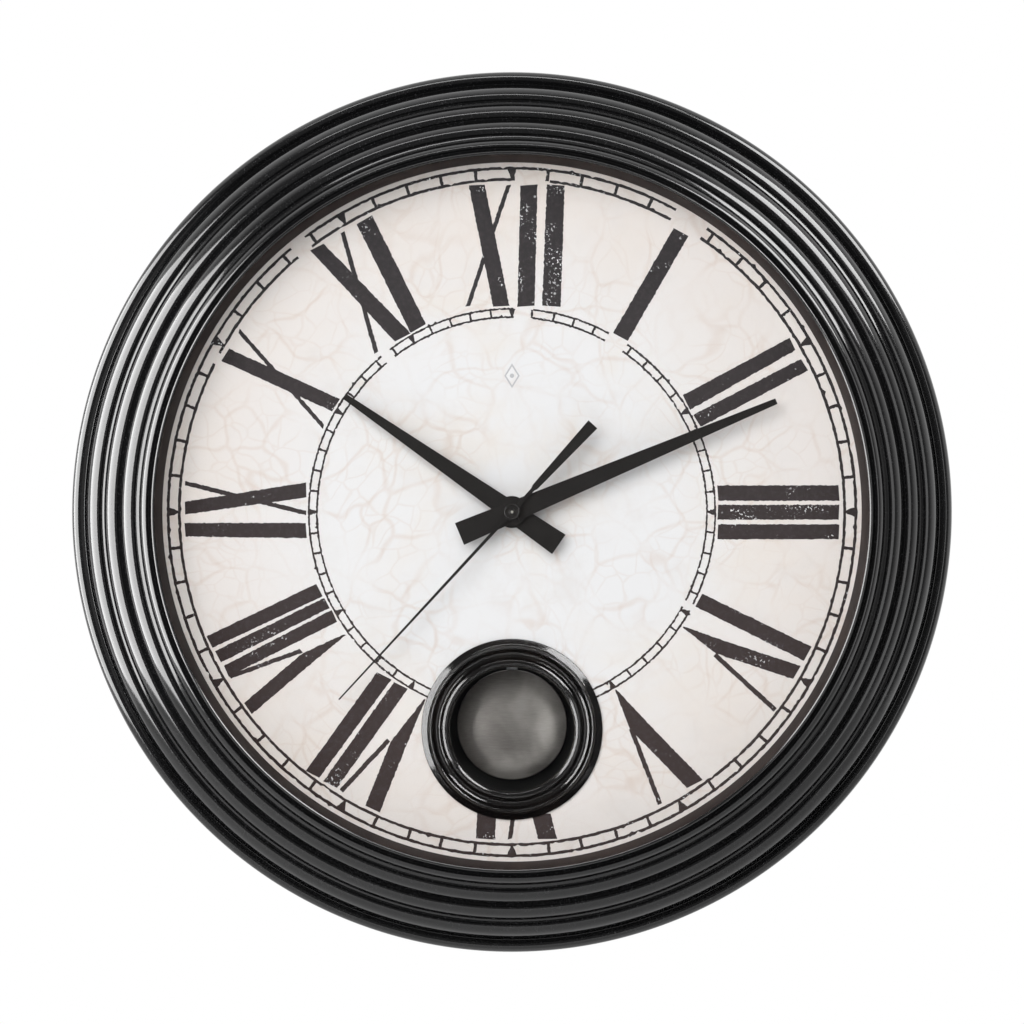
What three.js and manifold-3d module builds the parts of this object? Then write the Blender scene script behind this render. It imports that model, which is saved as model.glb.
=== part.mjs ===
// Pendulum wall clock: a stepped round case, a printed dial with a round window for the bob,
// and a quartz pendulum movement with its gear train.
// Millimetres. Built in face coordinates: x right, y up, z out of the wall, dial axis at 0, 0.
// The last lines turn it so that +Z is up, the dial looks along -Y and the origin is the
// point on the wall plane where the hanging screw sits in the keyhole.
import * as THREE from 'three';
import { mergeVertices } from 'three/addons/utils/BufferGeometryUtils.js';
import Module from 'manifold-3d';

const wasm = await Module();
wasm.setup();

// ---- Driving dimensions -------------------------------------------------------------------
const GAP = 0.3; // running and assembly clearance between separate pieces
const CASE_DIAMETER = 440;
const CASE_DEPTH = 61; // wall to the top of the lip
const RING_SIDES = 48; // sides of the large round pieces
const WINDOW_SIDES = 36;
const BOB_SIDES = 32;

// Bezel moulding. Radial sizes are measured in from the rim, heights down from the lip.
const BEZEL_WIDTH = 41.7;
const SKIN = 2.4;
const SKIRT_WALL = 1.8;
const LIP_WIDTH = 1.5;
const LIP_HEIGHT = 5;
const GROOVE_DEPTH = 1.2;
const RIM_HEIGHT = 11;
const BEAD_WIDTH = 6.2; // outermost bead
const BEAD_CREST = 4.6; // its height over the rim, at the widest turn
const STEPS = [
  { inset: 7.4, width: 6.2, drop: 32, rise: 11 },
  { inset: 16.6, width: 6.0, drop: 22.5, rise: 9 },
  { inset: 25.0, width: 6.0, drop: 13.5, rise: 8.5 },
  { inset: 34.2, width: 3.6, drop: 5, rise: 8 },
];

// Lens, inner ring and dial
const GLASS_THICKNESS = 2.5;
const GLASS_RECESS = 8.2; // lip to lens seat
const GLASS_LAP = 3.9; // how far the lens reaches behind the lip
const REHAUT_HEIGHT = 13.4;
const REHAUT_SLOPE = 3.8; // how much narrower the inner ring is at the dial
const REHAUT_WALL = 2;
const SKIRT_LAP = 2; // how far the bezel skirt reaches behind the dial
const DIAL_THICKNESS = 3;

// Window in the dial
const WINDOW_RADIUS = 31;
const WINDOW_MOULDING = 14.2; // width of the window ring
const WINDOW_MARGIN = 20.7; // dial edge to window ring
const WINDOW_HEIGHT = 5;
const WINDOW_SLEEVE = 1.4;
const WINDOW_EDGE = 0.7; // upright edge of the window ring
// beads of the window ring: distance from its edge or from its bore, and down from its top
const OUTER_BEAD = [[2.8, 2.4], [3.6, 1.6], [4.6, 0.3], [6, 1.6]];
const INNER_BEAD = [[6.6, 3.2], [4.6, 2.4], [3.8, 0.8], [2.2, 0], [0.5, 1], [0, 2.4]];
const PEG_RADIUS = 1.5;
const PEG_INSET = 5.2;
const PEG_REACH = 2.7; // behind the dial
const CLIP_RADIUS = 4;
const CLIP_THICKNESS = 0.6;

// Hands. Gaps are from the visible edge of the dial to the tip.
const HAND_THICKNESS = 0.8;
const HAND_CLEARANCE = 1.3; // window ring to hour hand
const HAND_SPACING = 1.5;
const HOUR_TIP_GAP = 72.9;
const MINUTE_TIP_GAP = 31.4;
const SECOND_TIP_GAP = 46.9;
const HAND_TAIL = 28.4;
const SECOND_TAIL = 59.5;
const HAND_TAIL_WIDTH = 11.8;
const HAND_TIP_WIDTH = 3;
const HUB_RADIUS = 7;
const COLLET_WALL = 0.9;
const SECOND_TAIL_WIDTH = 6;
const SECOND_WAIST = [[1.6, -16.8], [0.9, -15.6], [0.8, 20]]; // half width, distance from the axis
const SECOND_TIP_WIDTH = 0.8;
const SECOND_BOSS_HEIGHT = 1.5;
const SECOND_BOSS_RADIUS = 4;
const HOUR_ANGLE = 304.65; // degrees clockwise from twelve, at rest
const MINUTE_ANGLE = 67.25;
const SECOND_ANGLE = 222.7;

// Arbors, one inside the other
const SECONDS_ARBOR_RADIUS = 0.5;
const TUBE_WALL = 0.9;
const HOUR_TUBE_WALL = 0.6;
const BUSHING_WALL = 1.1;
const PIVOT_RADIUS = 0.5;
const KNOB_SHAFT_RADIUS = 1.6;
const HAND_NUT_WALL = 1.1;
const HAND_NUT_HEIGHT = 0.9;

// Movement
const BATTERY_DIAMETER = 14.5;
const BATTERY_LENGTH = 50.5;
const MOVEMENT_WALL = 1.6;
const MOVEMENT_WIDTH = 60;
const TRAIN_ROOM_ABOVE = 27.4; // dial axis to the top wall, inside
const TRAIN_ROOM_BELOW = 16.2;
const PENDULUM_ROOM = 23;
const PARTING_OFFSET = 1.6; // middle of the movement to the joint of its two halves
const MOVEMENT_CORNER = 3;
const BATTERY_PLAY = 0.6;
const CONTACT_SPACE = 2.15;
const CONTACT_WIDTH = 10;
const CONTACT_THICKNESS = 0.5;
const BATTERY_NUB_RADIUS = 2.75;
const RUBBER_THICKNESS = 0.8;
const RUBBER_RADIUS = 12;
const WASHER_THICKNESS = 0.8;
const NUT_RADIUS = 6.2;
const NUT_HEIGHT = 2;
const BUSHING_END = 0.6; // bushing above its nut
const AXLE_BOSS_RADIUS = 2.2;
const POST_RADIUS = 1.2;
const POSTS = [[-12.5, 11], [20.5, 5.5], [-12, -8], [20.5, -12]];
const BRIDGE = { left: -14.6, right: 22.6, bottom: -14, top: 13.8, corner: 1.5, thickness: 1 };

// Motor and circuit, placed from the dial axis
const ROTOR_HUB_RADIUS = 1;
const ROTOR_MAGNET_RADIUS = 3;
const ROTOR_MAGNET_LENGTH = 2.4;
const STATOR = [
  [-16, 13.6], [9.4, 13.6], [9.4, 7], [18.6, 7], [18.6, 9], [26, 13.6],
  [26, 25.5], [21, 25.5], [21, 17.6], [-11, 17.6], [-11, 25.5], [-16, 25.5],
];
const STATOR_THICKNESS = 1;
const MOTOR_COIL = { x: 5, y: 22.5, radius: 3.5, length: 26, coreLength: 41, coreWidth: 4 };
const BOARD_SIZE = { left: -27, right: -14.6, bottom: -15.6, top: -7, height: 2.2, thickness: 1.2 };
const CRYSTAL = { x: -20.5, y: -11.5, radius: 1, length: 7 };

// Gear train: module and tooth counts of each meshing pair
const WHEEL_THICKNESS = 1.2;
const PLANE_GAPS = { motion: 0.7, bridge: 0.4, centre: 0.4, third: 1.4, seconds: 1.1, intermediate: 0.8 };
const ARBOR_FLANGE = 1.3;
const FLANGE_THICKNESS = 0.6;
const KNOB = { teeth: 16, module: 0.84, height: 3.4 };
const MESH = {
  rotor: { module: 0.35, pinion: 6, wheel: 36 },
  intermediate: { module: 0.45, pinion: 8, wheel: 40 },
  seconds: { module: 0.42, pinion: 6, wheel: 45 },
  third: { pinion: 6, wheel: 48 },
  cannon: { module: 0.5, pinion: 12, wheel: 36 },
  motion: { pinion: 10, wheel: 40 },
};
const THIRD_BEARING = 330; // degrees from +x, where each wheel stands
const INTERMEDIATE_BEARING = 45;
const ROTOR_BEARING = 30;
const MOTION_BEARING = 150;
const KNOB_BEARING = 225;

// Pendulum
const BOB_RADIUS = 27.5;
const BOB_CROWN = 5;
const BOB_RISE = 2.2; // bob centre above the window centre
const ROD_WIDTH = 5.5;
const ROD_THICKNESS = 1;
const ROD_CORNER = 1;
const ROD_END = 8; // bob centre to the lower end of the rod
const ROD_DROP = 1.2; // movement to the upper end of the rod
const BOB_EDGE = 1.6;
const BOB_CHAMFER = 0.6;
const CLIP_WIDTH = 12;
const CLIP_HEIGHT = 8;
const CLIP_WALL = 1.1;
const PIVOT_DROP = 4.5; // top wall of the pendulum room to the axle
const AXLE_RADIUS = 0.8;
const ARM_HEIGHT = 4.3; // rear wall to the arm
const ARM_THICKNESS = 2.5;
const ARM_WIDTH = 6;
const ARM_SLOT_WIDTH = 19;
const ARM_SLOT_PLAY = 2;
const HOOK_RADIUS = 1.5;
const HOOK_DROP = 3; // end of the rod to its hole
const MAGNET_DROP = 9.4; // axle to the driving magnet
const MAGNET_RADIUS = 4.5;
const MAGNET_LENGTH = 2.6;
const COIL_BORE = 2.5;
const COIL_RADIUS = 6.6;
const COIL_LENGTH = 4.4;

// Case back and hanging
const COVER_THICKNESS = 2.2;
const COVER_RECESS = 2; // rim to cover face
const COVER_SCREWS = 6;
const SPACER_WALL = 3;
const SPACER_INSET = 0.8; // dial edge to spacer ring
const BOSS_INSET = 24;
const BOSS_RADIUS = 4;
const SCREW_RADIUS = 1.1;
const SCREW_LENGTH = 12;
const SCREW_HEAD_RADIUS = 3.4;
const SCREW_HEAD_HEIGHT = 1.5;
const OPENING_MARGIN = 4; // movement to the opening in the cover
const PAD_RADIUS = 7;
const PAD_INSET = 12; // screw circle to the pads
const HANGER_INSET = 52; // rim to the hanging point
const HANGER_WIDTH = 44;
const HANGER_HEIGHT = 26;
const KEYHOLE_RADIUS = 5;
const KEYSLOT_RADIUS = 2.5;
const KEYHOLE_DROP = 9;
const KEYHOLE_ROOM = { halfWidth: 8, below: 7, above: 5, corner: 3 }; // room for the screw head in the cover
const HANGER_THICKNESS = 1.2;
const HANGER_CORNER = 4;
const RIVET_INSET = 5; // end of the plate to the rivets
const RIVET_DROP = 4; // hanging point to the rivets
const RIVET_HEAD_RADIUS = 2.6;
const RIVET_TAIL_RADIUS = 2.2;

// ---- Places worked out from them ----------------------------------------------------------
const rimRadius = CASE_DIAMETER / 2;
const lipRadius = rimRadius - BEZEL_WIDTH;
const glassRadius = lipRadius + GLASS_LAP;
const pocketRadius = glassRadius + GAP + 0.1;
const dialRadius = pocketRadius - GAP;
const footRadius = lipRadius - REHAUT_SLOPE - 0.1;

const glassSeat = CASE_DEPTH - GLASS_RECESS;
const glassFront = glassSeat - GAP;
const glassBack = glassFront - GLASS_THICKNESS;
const rehautTop = glassBack - GAP;
const rehautFoot = rehautTop - REHAUT_HEIGHT;
const dialFront = rehautFoot - GAP;
const dialBack = dialFront - DIAL_THICKNESS;

const windowRingRadius = WINDOW_RADIUS + WINDOW_MOULDING;
const windowY = -(footRadius - WINDOW_MARGIN - windowRingRadius);
const windowTop = dialFront + WINDOW_HEIGHT;

const hourHandZ = windowTop + HAND_CLEARANCE;
const minuteHandZ = hourHandZ + HAND_THICKNESS + HAND_SPACING;
const secondHandZ = minuteHandZ + HAND_THICKNESS + HAND_SPACING;

const minuteBore = SECONDS_ARBOR_RADIUS + GAP;
const minuteTube = minuteBore + TUBE_WALL;
const hourBore = minuteTube + GAP;
const hourTube = hourBore + HOUR_TUBE_WALL;
const bushingBore = hourTube + GAP;
const bushingRadius = bushingBore + BUSHING_WALL;

const moveFront = dialBack - GAP - RUBBER_THICKNESS - GAP;
const frontInner = moveFront - MOVEMENT_WALL;
const rearInner = frontInner - BATTERY_DIAMETER - BATTERY_PLAY - 0.1;
const moveRear = rearInner - MOVEMENT_WALL;
const parting = (frontInner + rearInner) / 2 + PARTING_OFFSET;
const halfWidth = MOVEMENT_WIDTH / 2;
const roomHalf = halfWidth - MOVEMENT_WALL;
const bayHalf = BATTERY_LENGTH / 2 + CONTACT_SPACE;
const bayTop = -(TRAIN_ROOM_BELOW + MOVEMENT_WALL);
const batteryY = bayTop - BATTERY_PLAY - BATTERY_DIAMETER / 2;
const batteryZ = (frontInner + rearInner) / 2;
const bayBottom = batteryY - BATTERY_PLAY - BATTERY_DIAMETER / 2;
const swingTop = bayBottom - MOVEMENT_WALL;
const swingBottom = swingTop - PENDULUM_ROOM;
const moveTop = TRAIN_ROOM_ABOVE + MOVEMENT_WALL;
const moveBottom = swingBottom - MOVEMENT_WALL;

// wheel planes, each the rear face of its wheel
const hourZ = frontInner - GAP - 0.1 - WHEEL_THICKNESS;
const motionZ = hourZ - PLANE_GAPS.motion - WHEEL_THICKNESS;
const bridgeTop = motionZ - PLANE_GAPS.bridge;
const bridgeZ = bridgeTop - BRIDGE.thickness;
const centreZ = bridgeZ - PLANE_GAPS.centre - WHEEL_THICKNESS;
const thirdZ = centreZ - PLANE_GAPS.third - WHEEL_THICKNESS;
const secondsZ = thirdZ - PLANE_GAPS.seconds - WHEEL_THICKNESS;
const intermediateZ = secondsZ - PLANE_GAPS.intermediate - WHEEL_THICKNESS;
const arborRear = rearInner + GAP;
const arborFront = bridgeTop - 0.1;

const pairDistance = (mesh, module) => ((mesh.pinion + mesh.wheel) * module) / 2;
const polar = (radius, degrees, from = [0, 0]) => {
  const angle = THREE.MathUtils.degToRad(degrees);
  return [from[0] + radius * Math.cos(angle), from[1] + radius * Math.sin(angle)];
};
const thirdDistance = pairDistance(MESH.seconds, MESH.seconds.module);
const thirdModule = (2 * thirdDistance) / (MESH.third.pinion + MESH.third.wheel);
const motionDistance = pairDistance(MESH.cannon, MESH.cannon.module);
const hourModule = (2 * motionDistance) / (MESH.motion.pinion + MESH.motion.wheel);
const thirdAt = polar(thirdDistance, THIRD_BEARING);
const intermediateAt = polar(pairDistance(MESH.intermediate, MESH.intermediate.module), INTERMEDIATE_BEARING);
const rotorAt = polar(pairDistance(MESH.rotor, MESH.rotor.module), ROTOR_BEARING, intermediateAt);
const motionAt = polar(motionDistance, MOTION_BEARING);
const knobAt = polar(motionDistance, KNOB_BEARING, motionAt);

const pivotY = swingTop - PIVOT_DROP;
const magnetY = pivotY - MAGNET_DROP;
const armZ = rearInner + ARM_HEIGHT;
const armFront = armZ + ARM_THICKNESS;
const rodZ = armZ - 3 * GAP - ROD_THICKNESS;
const rodTop = moveBottom - ROD_DROP;
const hookY = rodTop - HOOK_DROP;
const bobY = windowY + BOB_RISE;
const bobBack = rodZ + ROD_THICKNESS + GAP;

const coverBack = COVER_RECESS;
const coverFront = coverBack + COVER_THICKNESS;
const hangerY = rimRadius - HANGER_INSET;
const bossRing = rimRadius - BOSS_INSET;
const hangerFront = coverBack - GAP;
const hangerBack = hangerFront - HANGER_THICKNESS;

const screwPlaces = Array.from({ length: COVER_SCREWS }, (_, i) => polar(bossRing, (i * 360) / COVER_SCREWS));
const padPlaces = [225, 315].map((bearing) => polar(bossRing - PAD_INSET, bearing));
const pegPlaces = [30, 150, 270].map((bearing) => polar(windowRingRadius - PEG_INSET, bearing, [0, windowY]));
const rivetPlaces = [-1, 1].map((side) => [side * (HANGER_WIDTH / 2 - RIVET_INSET), hangerY - RIVET_DROP]);

// fixings of the movement in front of the dial
const nutSeat = dialFront + GAP;
const washerTop = nutSeat + WASHER_THICKNESS;
const nutBase = washerTop + GAP;
const nutTop = nutBase + NUT_HEIGHT;
const bushingTop = nutTop + BUSHING_END;
const handNutZ = minuteHandZ + HAND_THICKNESS + GAP;

// ---- Solids -------------------------------------------------------------------------------
// A closed three.js geometry as a manifold solid, with collapsed triangles left out.
function solid(geometry) {
  const bare = geometry.clone();
  bare.deleteAttribute('normal');
  bare.deleteAttribute('uv');
  const merged = mergeVertices(bare, 1e-4);
  const index = merged.index.array;
  const kept = [];
  for (let i = 0; i < index.length; i += 3) {
    const [a, b, c] = [index[i], index[i + 1], index[i + 2]];
    if (a !== b && b !== c && c !== a) kept.push(a, b, c);
  }
  const mesh = new wasm.Mesh({
    numProp: 3,
    vertProperties: new Float32Array(merged.attributes.position.array),
    triVerts: new Uint32Array(kept),
  });
  return new wasm.Manifold(mesh);
}

function geometryOf(body) {
  const mesh = body.getMesh();
  const geometry = new THREE.BufferGeometry();
  geometry.setAttribute('position', new THREE.BufferAttribute(new Float32Array(mesh.vertProperties), 3));
  geometry.setIndex(new THREE.BufferAttribute(new Uint32Array(mesh.triVerts), 1));
  geometry.computeVertexNormals();
  return geometry;
}

// Turned piece about the z axis at (x, y). Profile: [radius, z] pairs, closed or axis to axis.
function turned(profile, sides, at = [0, 0]) {
  const geometry = new THREE.LatheGeometry(profile.map(([r, z]) => new THREE.Vector2(r, z)), sides);
  geometry.rotateX(Math.PI / 2);
  geometry.translate(at[0], at[1], 0);
  return solid(geometry);
}

function disc(radius, z0, z1, sides, at = [0, 0]) {
  return turned([[0, z0], [radius, z0], [radius, z1], [0, z1]], sides, at);
}

function tube(inner, outer, z0, z1, sides, at = [0, 0]) {
  return turned([[inner, z0], [outer, z0], [outer, z1], [inner, z1], [inner, z0]], sides, at);
}

function outline(points) {
  return new THREE.Shape(points.map(([x, y]) => new THREE.Vector2(x, y)));
}

function roundedRect(x0, x1, y0, y1, radius) {
  const shape = new THREE.Shape();
  shape.moveTo(x0 + radius, y0);
  shape.lineTo(x1 - radius, y0);
  shape.absarc(x1 - radius, y0 + radius, radius, -Math.PI / 2, 0);
  shape.absarc(x1 - radius, y1 - radius, radius, 0, Math.PI / 2);
  shape.absarc(x0 + radius, y1 - radius, radius, Math.PI / 2, Math.PI);
  shape.absarc(x0 + radius, y0 + radius, radius, Math.PI, 1.5 * Math.PI);
  return shape;
}

function prism(shape, z0, z1) {
  const options = { depth: z1 - z0, bevelEnabled: false, curveSegments: 3 };
  const geometry = new THREE.ExtrudeGeometry(shape, options);
  geometry.translate(0, 0, z0);
  return solid(geometry);
}

function block(x0, x1, y0, y1, z0, z1) {
  const geometry = new THREE.BoxGeometry(x1 - x0, y1 - y0, z1 - z0);
  geometry.translate((x0 + x1) / 2, (y0 + y1) / 2, (z0 + z1) / 2);
  return solid(geometry);
}

function joined(...bodies) {
  return bodies.reduce((whole, body) => whole.add(body));
}

function cut(body, ...tools) {
  return tools.reduce((rest, tool) => rest.subtract(tool), body);
}

// Spur gear with straight-flanked teeth, a little shallow and narrow so that it runs with play.
// phase turns the first tooth's centre, in degrees from +x.
function gear(teeth, module, z0, z1, at, phase = 0) {
  const pitch = (teeth * module) / 2;
  const tip = pitch + 0.75 * module;
  const root = pitch - 0.95 * module;
  const step = (2 * Math.PI) / teeth;
  const rootHalf = Math.min(0.3, 0.19 + 0.55 / teeth) * step;
  const tipHalf = 0.09 * step;
  const start = THREE.MathUtils.degToRad(phase);
  const points = [];
  for (let i = 0; i < teeth; i += 1) {
    const middle = start + i * step;
    points.push([root, middle - rootHalf], [tip, middle - tipHalf]);
    points.push([tip, middle + tipHalf], [root, middle + rootHalf]);
  }
  const ring = points.map(([r, a]) => [at[0] + r * Math.cos(a), at[1] + r * Math.sin(a)]);
  return prism(outline(ring), z0, z1);
}

// Tooth phase that puts a tooth of a wheel opposite a gap of the gear that it meshes with.
// bearing points from the first gear to the second, and both phases are in degrees.
function matingPhase(bearing, firstTeeth, firstPhase, secondTeeth) {
  const offset = ((bearing - firstPhase) / 360) * firstTeeth;
  const fraction = offset - Math.floor(offset);
  return bearing + 180 + ((fraction + 0.5) * 360) / secondTeeth;
}

// ---- Case ---------------------------------------------------------------------------------
// Quarter of an ellipse from the outer foot of a step to its inner top edge.
function stepCurve(step, segments) {
  const outer = rimRadius - step.inset;
  const top = CASE_DEPTH - step.drop;
  const points = [];
  for (let i = 0; i <= segments; i += 1) {
    const angle = (i / segments) * (Math.PI / 2);
    points.push([
      outer - step.width * (1 - Math.cos(angle)),
      top - step.rise * (1 - Math.sin(angle)),
    ]);
  }
  return points;
}

function bezelFace() {
  const beadInner = rimRadius - BEAD_WIDTH;
  const face = [
    [rimRadius, 0],
    [rimRadius, RIM_HEIGHT],
    [rimRadius - BEAD_WIDTH / 5, RIM_HEIGHT + 0.65 * BEAD_CREST],
    [rimRadius - 0.6 * BEAD_WIDTH, RIM_HEIGHT + BEAD_CREST],
    [beadInner, RIM_HEIGHT + 0.55 * BEAD_CREST],
  ];
  for (const step of STEPS) {
    const inner = rimRadius - step.inset - step.width;
    const top = CASE_DEPTH - step.drop;
    face.push(...stepCurve(step, 3), [inner - 1, top - GROOVE_DEPTH]);
  }
  face.push([lipRadius + LIP_WIDTH, CASE_DEPTH - LIP_HEIGHT + 1]);
  face.push([lipRadius + LIP_WIDTH, CASE_DEPTH - 0.6]);
  face.push([lipRadius + LIP_WIDTH / 2, CASE_DEPTH]);
  face.push([lipRadius, CASE_DEPTH - 0.6]);
  return face;
}

const stepUnderside = (step) => CASE_DEPTH - step.drop - GROOVE_DEPTH - SKIN;

function bezelUnderside() {
  const under = [
    [lipRadius, glassSeat],
    [pocketRadius, glassSeat],
    [pocketRadius, dialBack - SKIRT_LAP],
    [pocketRadius + SKIRT_WALL, dialBack - SKIRT_LAP],
    [pocketRadius + SKIRT_WALL, stepUnderside(STEPS[2])],
  ];
  for (let i = 2; i >= 0; i -= 1) {
    const step = STEPS[i];
    const outer = rimRadius - step.inset;
    const top = stepUnderside(step);
    const next = i > 0 ? stepUnderside(STEPS[i - 1]) : RIM_HEIGHT;
    under.push([outer - step.width + 1, top], [outer - SKIN, top - step.rise / 2], [outer - SKIN, next]);
  }
  under.push([rimRadius - SKIN, RIM_HEIGHT]);
  under.push([rimRadius - SKIN, 0]);
  return under;
}

function bezelRing() {
  const face = bezelFace();
  let body = turned([...face, ...bezelUnderside(), face[0]], RING_SIDES);
  const bossTop = stepUnderside(STEPS[1]) + SKIN / 4;
  for (const at of screwPlaces) {
    body = body.add(disc(BOSS_RADIUS, coverFront + GAP, bossTop, 10, at));
    body = body.subtract(disc(SCREW_RADIUS + GAP, coverFront, coverFront + SCREW_LENGTH, 8, at));
  }
  return body;
}

const glassLens = () => disc(glassRadius, glassBack, glassFront, RING_SIDES);

function rehautRing() {
  const topInner = lipRadius - 0.1;
  return turned([
    [footRadius, rehautFoot],
    [dialRadius, rehautFoot],
    [dialRadius, rehautFoot + REHAUT_WALL],
    [footRadius + REHAUT_WALL, rehautFoot + REHAUT_WALL],
    [topInner + REHAUT_WALL - 0.4, rehautTop - REHAUT_WALL],
    [glassRadius, rehautTop - REHAUT_WALL],
    [glassRadius, rehautTop],
    [topInner, rehautTop],
    [footRadius, rehautFoot],
  ], RING_SIDES);
}

function dialPlate() {
  const below = dialBack - 1;
  const above = dialFront + 1;
  const plate = disc(dialRadius, dialBack, dialFront, RING_SIDES);
  const sleeveHole = disc(WINDOW_RADIUS + WINDOW_SLEEVE + GAP, below, above, WINDOW_SIDES, [0, windowY]);
  const shaftHole = disc(bushingRadius + GAP, below, above, 16);
  const pegHoles = pegPlaces.map((at) => disc(PEG_RADIUS + GAP, below, above, 8, at));
  return cut(plate, sleeveHole, shaftHole, ...pegHoles);
}

function windowRing() {
  const inner = WINDOW_RADIUS;
  const outer = windowRingRadius;
  const base = dialFront + GAP;
  const top = windowTop;
  const ring = turned([
    [inner, dialBack + GAP],
    [inner + WINDOW_SLEEVE, dialBack + GAP],
    [inner + WINDOW_SLEEVE, base],
    [outer, base],
    [outer, base + WINDOW_EDGE],
    ...OUTER_BEAD.map(([from, down]) => [outer - from, top - down]),
    ...INNER_BEAD.map(([from, down]) => [inner + from, top - down]),
    [inner, dialBack + GAP],
  ], WINDOW_SIDES, [0, windowY]);
  const pegs = pegPlaces.map((at) => disc(PEG_RADIUS, dialBack - PEG_REACH, base + 0.5, 8, at));
  return joined(ring, ...pegs);
}

const clipZ = dialBack - GAP;
const windowClip = (at) => tube(PEG_RADIUS + GAP, CLIP_RADIUS, clipZ - CLIP_THICKNESS, clipZ, 10, at);

// ---- Case back ----------------------------------------------------------------------------
function backCover() {
  const below = coverBack - 1;
  const above = coverFront + 1;
  const margin = OPENING_MARGIN;
  const half = halfWidth + margin;
  const room = KEYHOLE_ROOM;
  const lowest = hangerY - KEYHOLE_DROP - room.below;
  const plate = disc(rimRadius - SKIN - 2 * GAP, coverBack, coverFront, RING_SIDES);
  const opening = prism(
    roundedRect(-half, half, moveBottom - margin, moveTop + margin, margin), below, above,
  );
  const pocket = prism(
    roundedRect(-room.halfWidth, room.halfWidth, lowest, hangerY + room.above, room.corner), below, above,
  );
  const holes = screwPlaces.map((at) => disc(SCREW_RADIUS + 0.5, below, above, 8, at));
  const fixings = rivetPlaces.map((at) => disc(SCREW_RADIUS + GAP, below, above, 8, at));
  return cut(plate, opening, pocket, ...holes, ...fixings);
}

// Ring that stands on the cover and presses the dial against the inner ring.
function spacerRing() {
  const outer = dialRadius - SPACER_INSET;
  return tube(outer - SPACER_WALL, outer, coverFront + GAP, dialBack - GAP, RING_SIDES);
}

// Pan-head screw with its shank pointing to the front.
function coverScrew(at) {
  const neck = coverBack - GAP;
  const head = neck - SCREW_HEAD_HEIGHT;
  return turned([
    [0, head],
    [SCREW_HEAD_RADIUS * 0.75, head],
    [SCREW_HEAD_RADIUS, head + 0.4 * SCREW_HEAD_HEIGHT],
    [SCREW_HEAD_RADIUS, neck],
    [SCREW_RADIUS, neck],
    [SCREW_RADIUS, head + SCREW_LENGTH],
    [0, head + SCREW_LENGTH],
  ], 10, at);
}

function hangerPlate() {
  const half = HANGER_WIDTH / 2;
  const bottom = hangerY - KEYHOLE_DROP / 2 - HANGER_HEIGHT / 2;
  const plate = prism(
    roundedRect(-half, half, bottom, bottom + HANGER_HEIGHT, HANGER_CORNER), hangerBack, hangerFront,
  );
  const below = hangerBack - 1;
  const above = hangerFront + 1;
  const hole = disc(KEYHOLE_RADIUS, below, above, 16, [0, hangerY - KEYHOLE_DROP]);
  const seat = disc(KEYSLOT_RADIUS, below, above, 12, [0, hangerY]);
  const slot = block(-KEYSLOT_RADIUS, KEYSLOT_RADIUS, hangerY - KEYHOLE_DROP, hangerY, below, above);
  const fixings = rivetPlaces.map((at) => disc(SCREW_RADIUS + GAP, below, above, 8, at));
  return cut(plate, hole, seat, slot, ...fixings);
}

// Rivet with a flat head behind the plate, spread in front of the cover.
function hangerRivet(at) {
  return turned([
    [0, 0.05],
    [RIVET_HEAD_RADIUS, 0.05],
    [RIVET_HEAD_RADIUS, hangerBack - 0.1],
    [SCREW_RADIUS, hangerBack - 0.1],
    [SCREW_RADIUS, coverFront + GAP],
    [RIVET_TAIL_RADIUS, coverFront + GAP],
    [RIVET_TAIL_RADIUS, coverFront + 1],
    [0, coverFront + 1],
  ], 10, at);
}

const wallPad = (at) => disc(PAD_RADIUS, 0, coverBack - GAP, 16, at);

// ---- Movement housing ---------------------------------------------------------------------
// The train room, the battery bay and the pendulum room. The bay starts at its own height.
const rooms = (z0, z1, bayZ) => [
  block(-roomHalf, roomHalf, -TRAIN_ROOM_BELOW, TRAIN_ROOM_ABOVE, z0, z1),
  block(-bayHalf, bayHalf, bayBottom, bayTop, bayZ, z1),
  block(-roomHalf, roomHalf, swingBottom, swingTop, z0, z1),
];
const housingOutline = () => roundedRect(-halfWidth, halfWidth, moveBottom, moveTop, MOVEMENT_CORNER);

function slotTool() {
  const half = ARM_SLOT_WIDTH / 2;
  const play = ARM_SLOT_PLAY;
  return block(-half, half, moveBottom - 1, swingBottom + 1, armZ - play, armFront + play);
}

const axleBoss = (z0, z1) => disc(AXLE_BOSS_RADIUS, z0, z1, 10, [0, pivotY]);
const axleBossBore = (z0, z1) => disc(AXLE_RADIUS + GAP, z0, z1, 8, [0, pivotY]);

function movementFrontCase() {
  const shell = prism(housingOutline(), parting + GAP / 2, moveFront);
  const bushing = disc(bushingRadius, moveFront - 1, bushingTop, 16);
  const bore = disc(bushingBore, frontInner - 1, bushingTop + 1, 16);
  const boss = axleBoss(frontInner - AXLE_BOSS_RADIUS, frontInner + 0.5);
  const bossBore = axleBossBore(frontInner - 3, frontInner);
  const hollow = cut(shell, ...rooms(parting, frontInner, parting));
  return cut(joined(hollow, bushing, boss), bore, bossBore, slotTool());
}

function movementRearCase() {
  const shell = prism(housingOutline(), moveRear, parting - GAP / 2);
  const boss = axleBoss(rearInner - 0.5, rearInner + 2);
  const bossBore = axleBossBore(rearInner, rearInner + 3);
  const posts = POSTS.map((at) => disc(POST_RADIUS, rearInner - 0.5, bridgeZ - GAP, 8, at));
  const knobHole = disc(KNOB_SHAFT_RADIUS + GAP, moveRear - 1, rearInner + 1, 12, knobAt);
  const hollow = cut(shell, ...rooms(rearInner, parting, moveRear - 1));
  return cut(joined(hollow, boss, ...posts), bossBore, knobHole, slotTool());
}

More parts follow.
